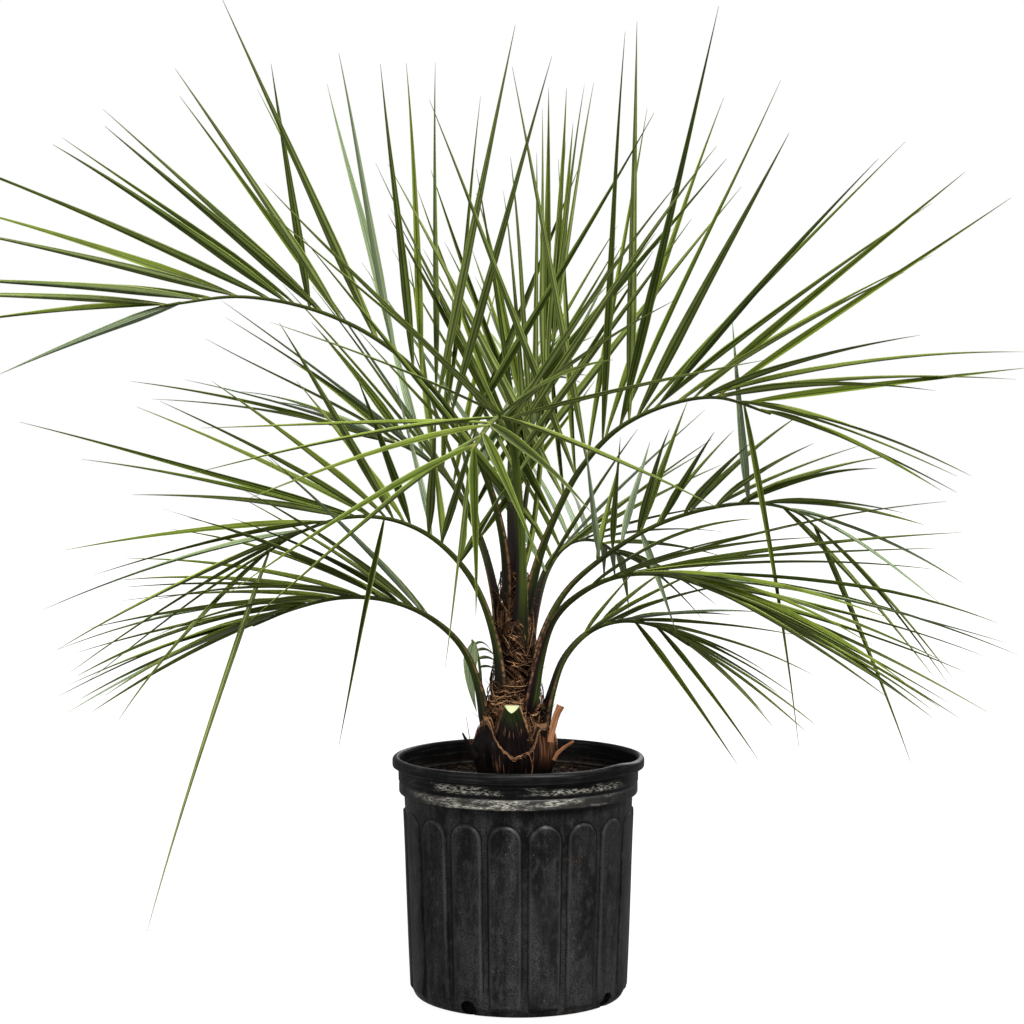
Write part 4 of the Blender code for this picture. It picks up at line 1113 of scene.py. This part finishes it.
def panel_depth(bearing, height):
    """How far inside the nearest arched panel points of the wall lie, and below zero outside it."""
    half = PANEL_WIDTH / 2
    out = ((bearing - FIRST_PANEL + PANEL_PITCH / 2) % PANEL_PITCH - PANEL_PITCH / 2) * WALL_TOP_RADIUS
    over = max(height - (PANEL_TOP - half), 0)
    return np.minimum(half - np.hypot(out, over), height - PANEL_FOOT)


def make_pot(materials):
    """The pot: its outline turned in columns that gather at the borders of the raised panels."""
    line = pot_line()[1:-1]
    columns = [*(-column for column in PANEL_COLUMNS[::-1]), *PANEL_COLUMNS]
    places = [number + 0.5 * column * PANEL_CELL for number in range(PANELS) for column in columns]
    turns = FIRST_PANEL + PANEL_PITCH * np.array(places)
    outer = len(line) - np.argmax(line[::-1, 0] >= NECK_RADIUS - 2 * BAND_STEP)
    crest = np.argmax(line[:, 1])
    dent = hump((turns - RIM_DENT + math.pi) % math.tau - math.pi, 0, RIM_DENT_SPREAD)
    rings, marks = [], []
    for row, (radius, height) in enumerate(line):
        reach, mark = np.full(len(turns), radius), np.zeros(len(turns))
        if row >= outer and radius > BASE_RADIUS + 0.004:
            depth = panel_depth(turns, height)
            reach += PANEL_RELIEF * smooth(*PANEL_BORDER, depth) - PANEL_GROOVE * hump(depth, *GROOVE_PLACE)
            # Painted highlight on the panel's rounded border and painted shade in the groove round it.
            mark = (hump(depth, *BORDER_HIGHLIGHT) - hump(depth, *GROOVE_SHADE)) * smooth(*MARK_FADE, height)
        # Painted highlight along the lip's crest.
        if abs(height - POT_HEIGHT) < LIP_HIGHLIGHT and radius > LIP_RADIUS - LIP_HIGHLIGHT:
            mark[:] = 1.0
        # Painted highlight on the ledge inside the pot at the groove.
        if row < crest and abs(height - GROOVE_HEIGHT - GROOVE_DEPTH) < GROOVE_DEPTH:
            mark[:] = 1.0
        # Painted highlight along the lip's bottom edge and the lower band's top edge.
        from_edges = min(abs(height - LIP_BOTTOM), abs(height - GROOVE_HEIGHT + GROOVE_DEPTH))
        if row > crest and from_edges < EDGE_HIGHLIGHT_REACH:
            mark[:] = 0.9
        if radius > BASE_RADIUS and height > FOOT_HEIGHT:
            spots = around(turns, WAVE_BENDS, WAVE_RISE * height)
            reach += WALL_WAVE * np.array([ripple(*spot) for spot in spots])
        share = max(height - GROOVE_HEIGHT, 0) / (POT_HEIGHT - GROOVE_HEIGHT)
        rings.append(around(turns, reach, height + RIM_DENT_RISE * dent * share))
        marks.extend(mark)
    shape = Shape()
    shape.loft(rings, np.arange(len(line)) < crest, mark=marks)
    cut_drains(shape.finish("pot", materials, smooth_below=50))


def cut_drains(pot):
    drains = []
    for panel in DRAIN_PANELS:
        mesh = bpy.data.meshes.new(f"drain_{panel}")
        bm = bmesh.new()
        size = dict(segments=40, radius1=DRAIN_RADIUS, radius2=DRAIN_RADIUS, depth=DRAIN_LENGTH)
        bmesh.ops.create_cone(bm, cap_ends=True, **size)
        bm.to_mesh(mesh)
        bm.free()
        drain = new_object(mesh.name, mesh)
        drain.location = around(FIRST_PANEL + PANEL_PITCH * panel, WALL_FOOT_RADIUS, DRAIN_HEIGHT)
        outward = Vector((*drain.location.xy, 0))
        drain.rotation_euler = outward.to_track_quat("Z", "Y").to_euler()
        hole = pot.modifiers.new("hole", "BOOLEAN")
        hole.operation = "DIFFERENCE"
        hole.object = drain
        hole.solver = "MANIFOLD"
        drains.append(drain)
    bpy.context.view_layer.update()
    holed = bpy.data.meshes.new_from_object(pot.evaluated_get(bpy.context.evaluated_depsgraph_get()))
    pot.modifiers.clear()
    pot.data = holed
    for drain in drains:
        bpy.data.objects.remove(drain)


def make_soil(materials):
    """Soil that fills the pot, with a lumpy top strewn with crumbs and bits of bark."""
    rng = np.random.default_rng([SEED, 1])
    clear = WALL + GAP
    rim = NECK_RADIUS - clear - BAND_STEP
    foot, wall_top = WALL_FOOT_RADIUS - clear, WALL_TOP_RADIUS - clear
    top_heights = (SOIL_CROWN - 0.001, SOIL_EDGE + 0.001, SOIL_EDGE)
    lines = [(radius, np.interp(radius, (0.0, 0.06, 0.10, rim), (SOIL_CROWN, *top_heights)))
             for radius in np.linspace(0.02, rim, SOIL_ROWS)]
    lines += [(rim, BAND_BOTTOM + 0.002), (wall_top, BAND_BOTTOM - 0.002)]
    for height in (0.12, 0.05, 0.024, 0.016, 0.010):
        lines.append((np.interp(height, (FLOOR, BAND_BOTTOM), (foot, wall_top)), height))
    lines += [(foot - INNER_CORNER, FLOOR + GAP)]
    rings = []
    for number, (radius, height) in enumerate(lines):
        points = around(full_turn(SOIL_STEPS), radius, height)
        if number < SOIL_ROWS:
            for point in points:
                point[2] += sum(rise * ripple(*Vector(point) * fine) for fine, rise in SOIL_LUMPS)
        rings.append(points)
    shape = Shape()
    shape.loft(rings, np.linspace(0, 1, len(rings)))
    for _ in range(SOIL_CRUMBS):
        radius = rim * math.sqrt(rng.uniform(0.14, 0.97))
        turn = rng.uniform(0, math.tau)
        middle = around(turn, radius, np.interp(radius, (0.06, 0.10, rim), top_heights) + 0.0008)
        add_crumb(shape, middle, rng.uniform(*CRUMB_SIZES), rng)
    shape.finish("soil", materials, smooth_below=30)


def add_crumb(shape, middle, size, rng):
    """A rough grain, or a splinter of bark when it is drawn long and thin."""
    stretch = np.array([rng.uniform(0.8, 2.2), rng.uniform(0.6, 1.0), rng.uniform(0.4, 0.8)]) * size
    turn = rng.uniform(0, math.tau)
    spin = np.array([[math.cos(turn), -math.sin(turn), 0], [math.sin(turn), math.cos(turn), 0], [0, 0, 1]])
    corners = np.array([(1, 0, 0), (0, 1, 0), (-1, 0, 0), (0, -1, 0), (0, 0, 1), (0, 0, -1)], float)
    corners = corners * rng.uniform(0.7, 1.2, (6, 1)) * stretch
    faces = [(0, 1, 4), (1, 2, 4), (2, 3, 4), (3, 0, 4), (1, 0, 5), (2, 1, 5), (3, 2, 5), (0, 3, 5)]
    shape.add(middle + corners @ spin.T, faces, tint=rng.uniform(0.0, 1.0) ** 2)


def make_stem(materials):
    """The stem: a matted core, near black with painted shade, under slanting strands that cross like coarse
    sacking.
    """
    rng = np.random.default_rng([SEED, 2])
    rings = []
    for height in np.linspace(STEM_PROFILE[0][1], STEM_PROFILE[-1][1], STEM_ROWS):
        turns = full_turn(STEM_SIDES)
        lumps = [ripple(3 * math.sin(turn), 3 * math.cos(turn), 60 * height) for turn in turns]
        rings.append(on_stem(turns, height, CORE_SINK + CORE_LUMPS * np.array(lumps)))
    shape = Shape()
    shape.loft(rings, np.linspace(0, 1, STEM_ROWS))
    for bearings, heights, lean, lean_spread, lengths, sag, count, tints in STRAND_MATS:
        for _ in range(count):
            bearing = math.radians(rng.uniform(*bearings))
            slope = math.radians(rng.normal(lean, lean_spread))
            bundle(shape, rng, bearing, rng.uniform(*heights), slope, rng.uniform(*lengths), sag, tints)
    for _ in range(STRAYS):
        height = rng.uniform(*STRAY_HEIGHTS)
        bearing = rng.uniform(0, math.tau)
        root = on_stem(bearing, height, -0.003)
        outward = around(bearing, 1, rng.uniform(-0.3, 1.2))
        bow = rng.normal(0, 0.5, 3)
        length = rng.uniform(*STRAY_LENGTHS)
        shares = np.linspace(0, 1, STRAY_POINTS)
        line = [root + length * (share * outward + share**2 * bow) for share in shares]
        shape.thread(line, np.linspace(*STRAY_RADII, STRAY_POINTS), tint=rng.uniform(0, 0.35))
    shape.finish("stem", materials, smooth_below=60)


def over_feet(bearing, height):
    """How far strands stand off the stem where they lie over a stalk's foot."""
    out = 0.0
    for middle, spread, (low, high), lift in BURIED_FEET:
        within = smooth(low, low + 0.012, height) * (1 - smooth(high, high + 0.006, height))
        out += lift * within * hump(bearing, middle, spread)
    return out


def bundle(shape, rng, bearing, height, lean, length, sag, tints):
    """A few strands that run side by side over the stem, rising at the angle of lean."""
    share = np.linspace(-0.5, 0.5, STRAND_POINTS)
    arc = np.cos(math.pi * share)
    for _ in range(rng.integers(1, 4)):
        bearing += rng.normal(0, BUNDLE_TURN)
        height += rng.normal(0, BUNDLE_RISE)
        sway = rng.normal(0, BUNDLE_SWAY) - sag
        lift = rng.uniform(*STRAND_LIFTS)
        z = np.clip(height + length * share * math.sin(lean) + sway * arc, LOWEST_STRAND, STEM_PROFILE[-1][1])
        angle = bearing + length * share * math.cos(lean) / stem_radius(z)
        line = on_stem(angle, z, lift + over_feet(angle, z) + STRAND_BOW * arc)
        radii = rng.uniform(*STRAND_RADII) * STRAND_TAPER
        shape.thread(line, radii, tint=blend(tints, rng.uniform() ** STRAND_DARKNESS))


def husk_top(bearing):
    """Height of the husk's torn edge at a bearing in radians from -pi to pi."""
    height = np.interp(math.degrees(bearing), *zip(*HUSK_TOPS)) / 1000
    return height + HUSK_FRAY * ripple(19.8 * math.sin(bearing), 19.8 * math.cos(bearing), 0)


def on_husk(bearing, height, out=0.0):
    fold = HUSK_FOLD * ripple(7 * math.sin(bearing), 7 * math.cos(bearing), 25 * height)
    return around(bearing, np.interp(height, *zip(*HUSK_RADII)) + fold + out, height, HUSK_X)


def add_husk(shape, rng):
    """The thin torn wall of old sheaths round the foot, with strands along its edge."""
    turns = np.linspace(-math.pi, math.pi, HUSK_STEPS, endpoint=False)
    tops = [husk_top(turn) for turn in turns]
    climb = np.linspace(0, 1, HUSK_ROWS)
    shares = np.array([*climb, *climb[::-1], 0.0])
    outs = [*np.zeros(HUSK_ROWS), *np.full(HUSK_ROWS, -HUSK_THICKNESS), 0.0]
    rings = [[on_husk(turn, blend((HUSK_FOOT, top), share), out) for turn, top in zip(turns, tops)]
             for share, out in zip(shares, outs)]
    frayed = np.repeat(0.75 * smooth(0.965, 1.0, shares), HUSK_STEPS)
    heights = np.array(rings)[:, :, 2]
    streaks = np.array([[ripple(turn * 34, share * 2.5, 0) for turn in turns] for share in shares])
    # Painted light on the husk's sunny side, in streaks over its tan torn fibres.
    bright = hump(turns, HUSK_SUNNY, HUSK_SUNNY_SPREAD) * smooth(0.232, 0.262, heights)
    bright *= smooth(-0.25, 0.35, streaks)
    shape.loft(rings, shares * 0.4, turns * 2, caps=False, tint=frayed, shade=bright.ravel())
    for _ in range(EDGE_STRANDS):
        start = math.radians(rng.uniform(*ALL_ROUND))
        run = rng.uniform(*EDGE_RUNS)
        drop = rng.normal(0.0008, 0.0015)
        slant = rng.normal(0, 0.0022)
        line = []
        for share in np.linspace(0, 1, EDGE_POINTS):
            turn = (start + run * share + math.pi) % math.tau - math.pi
            rise = 0.0010 * math.sin(9 * share + start) + slant * (share - 0.5) - drop
            line.append(on_husk(turn, husk_top(turn) + rise, 0.0005))
        shape.thread(line, rng.uniform(*EDGE_RADII), tint=rng.uniform(0.10, 0.9))


def add_strip(shape, line, widths, lightness):
    """A torn strip that stands up from a leaf base."""
    way = smooth_way(line, STRIP_RINGS)
    shares = np.linspace(0, 1, STRIP_RINGS)
    rings = []
    for share in shares:
        place, along, _, _ = frame_at(way, share)
        side = unit(np.cross(along, (0, 1, 0)))
        half = blend(widths, share) / 2
        depth = min(STRIP_THICKNESS / 2, half)
        rough = 1 + 0.25 * ripple(*place * 400)
        rings.append(oval(place, side, np.cross(along, side), half * rough, depth, STRIP_SIDES))
    shape.loft(rings, shares, np.linspace(-0.6, 0.6, STRIP_SIDES), shade=lightness)


def boot_sections(bearing, heights, half_widths, half_depths, stand_off, buried):
    """Sections of an old leaf base: broad and thick at its foot, narrowing to a cut that slopes outwards."""
    angle = math.radians(bearing)
    outward = around(angle, 1, 0)
    side = np.cross(UP, outward)
    out, up = np.cos(full_turn(BOOT_SIDES)), np.sin(full_turn(BOOT_SIDES))
    keel = np.where(up > 0, 1 - np.abs(out) ** KEEL_POWER, KEEL_INSIDE * up)
    rings = []
    for share in np.linspace(0, 1, BOOT_RINGS):
        height = blend(heights, share)
        reach = stem_radius(height) + stand_off * share**1.5 - BOOT_TUCK * (1 - share) - buried
        half_width = blend(half_widths, share**BOOT_FLARE)
        half_depth = blend(half_depths, share)
        wrap = half_width**2 / (2 * reach)
        points = section(around(angle, reach, height, STEM_X), side, outward, half_width * out,
                         half_depth * keel - wrap * out**2)
        points[:, 2] -= CUT_SLOPE * half_depth * np.maximum(keel, -0.1) * smooth(0.5, 1.0, share)
        rough = [ripple(*spot * (160, 160, 35)) for spot in points]
        rings.append(points + BOOT_ROUGHNESS * np.outer(rough, outward))
    return rings


def make_boot(name, boot, materials):
    rng = draws(name)
    shape = Shape()
    rings = boot_sections(*boot, buried=0.0 if name == "boot_front" else BURIED_TUCK)
    across = np.cos(full_turn(BOOT_SIDES))
    frayed = np.tile(smooth(0.90, 1.0, np.abs(across)), BOOT_RINGS)
    shape.loft(rings, np.linspace(0, 1, BOOT_RINGS), across, caps=False, tint=frayed)
    shape.add(rings[0], [range(BOOT_SIDES)[::-1]])
    inset = blend((rings[-1], rings[-1].mean(axis=0)), CUT_INSET) - UP * CUT_SINK
    corners = [(i, (i + 1) % BOOT_SIDES) for i in range(BOOT_SIDES)]
    rim = [(i, j, BOOT_SIDES + j, BOOT_SIDES + i) for i, j in corners]
    mark = np.repeat([0.3, 1.0], BOOT_SIDES)
    shape.add([*rings[-1], *inset], [*rim, range(BOOT_SIDES, 2 * BOOT_SIDES)], along=1.0, mark=mark)
    for edge, tints in ((0, (0.2, 0.9)), (BOOT_SIDES // 2, (0.0, 0.35))):
        for _ in range(MARGIN_STRANDS):
            offset = rng.normal(0, MARGIN_SPREAD, 3)
            line = [points[edge] + offset + rng.normal(0, MARGIN_WOBBLE, 3) for points in rings]
            light = rng.uniform(*tints)
            shape.thread(line, rng.uniform(*MARGIN_RADII), tint=light)
    for owner, *strip in STRIPS:
        if owner == name:
            add_strip(shape, *strip)
    if name == "boot_front":
        add_husk(shape, rng)
    shape.finish(name, materials, smooth_below=50)


def make_spear(materials):
    """The unopened leaf: a flattened bundle of pleats."""
    way = smooth_way(SPEAR_WAY, 61)
    shares = np.linspace(0, 1, SPEAR_RINGS)
    turns = full_turn(SPEAR_SIDES)
    pleats = 1 - SPEAR_PLEAT * (np.arange(SPEAR_SIDES) % 2)
    rings = []
    for share in shares:
        place, _, side, face = frame_at(way, share)
        out = np.interp(share, SPEAR_SHARES, SPEAR_HALF_WIDTHS) * np.cos(turns)
        up = np.interp(share, SPEAR_SHARES, SPEAR_HALF_DEPTHS) * np.sin(turns) * pleats
        rings.append(section(place, side, face, out, up))
    shape = Shape()
    shape.loft(rings, 0.1 + 0.85 * shares, np.cos(turns), tint=0.3, mark=0.45)
    shape.finish("spear", materials, smooth_below=30)


def make_floor():
    bm = bmesh.new()
    bmesh.ops.create_grid(bm, x_segments=1, y_segments=1, size=FLOOR_HALF_SIZE)
    mesh = bpy.data.meshes.new("floor")
    bm.to_mesh(mesh)
    bm.free()
    mesh.materials.append(floor_material())
    floor = new_object("floor", mesh)
    floor.location.z = -GAP
    floor.visible_diffuse = floor.visible_glossy = False


def make_camera():
    data = bpy.data.cameras.new("camera")
    data.lens = CAMERA_LENS
    data.sensor_width = 36
    camera = new_object("camera", data)
    camera.location = CAMERA_PLACE
    camera.rotation_euler = (math.pi / 2 - CAMERA_DIP, 0, 0)
    bpy.context.scene.camera = camera


def make_light(name, towards, strength, softness):
    """A broad distant light that shines from the given side."""
    data = bpy.data.lights.new(name, "SUN")
    data.energy = strength
    data.angle = math.radians(softness)
    light = new_object(name, data)
    light.rotation_euler = Vector(towards).to_track_quat("Z", "Y").to_euler()


def make_world():
    """A white surround that shows as white and lights the plant more gently."""
    world = bpy.data.worlds.new("studio")
    world.use_nodes = True
    nodes, links = world.node_tree.nodes, world.node_tree.links
    background = nodes["Background"]
    background.inputs["Color"].default_value = (1, 1, 1, 1)
    path = nodes.new("ShaderNodeLightPath")
    seen = nodes.new("ShaderNodeMapRange")
    seen.inputs["To Min"].default_value = SURROUND_LIGHT
    seen.inputs["To Max"].default_value = SURROUND_SEEN
    links.new(path.outputs["Is Camera Ray"], seen.inputs["Value"])
    links.new(seen.outputs["Result"], background.inputs["Strength"])
    bpy.context.scene.world = world


def main():
    strand = strand_material((0.016, 0.0065, 0.0035), (0.820, 0.440, 0.220))
    husk = husk_material("husk", 0.1, (0.060, 0.030, 0.016), (0.260, 0.130, 0.065))
    green_husk = husk_material("green_husk", 1.0, (0.330, 0.330, 0.110), (0.640, 0.680, 0.400))
    leaf, stalk, tooth = leaf_material(), stalk_material(), tooth_material()

    make_pot([plastic_material()])
    make_soil([soil_material()])
    make_stem([core_material(), strand])
    for name, boot in BOOTS.items():
        make_boot(name, boot, [green_husk if name == "boot_front" else husk, strand])
    make_spear([leaf])
    for name, (way, leaflets) in frond_layout().items():
        make_frond(name, way, leaflets, [leaf, stalk, tooth])

    make_floor()
    make_world()
    for name, light in LIGHTS.items():
        make_light(name, *light)
    make_camera()
    bpy.context.scene.view_settings.view_transform = "Standard"


main()
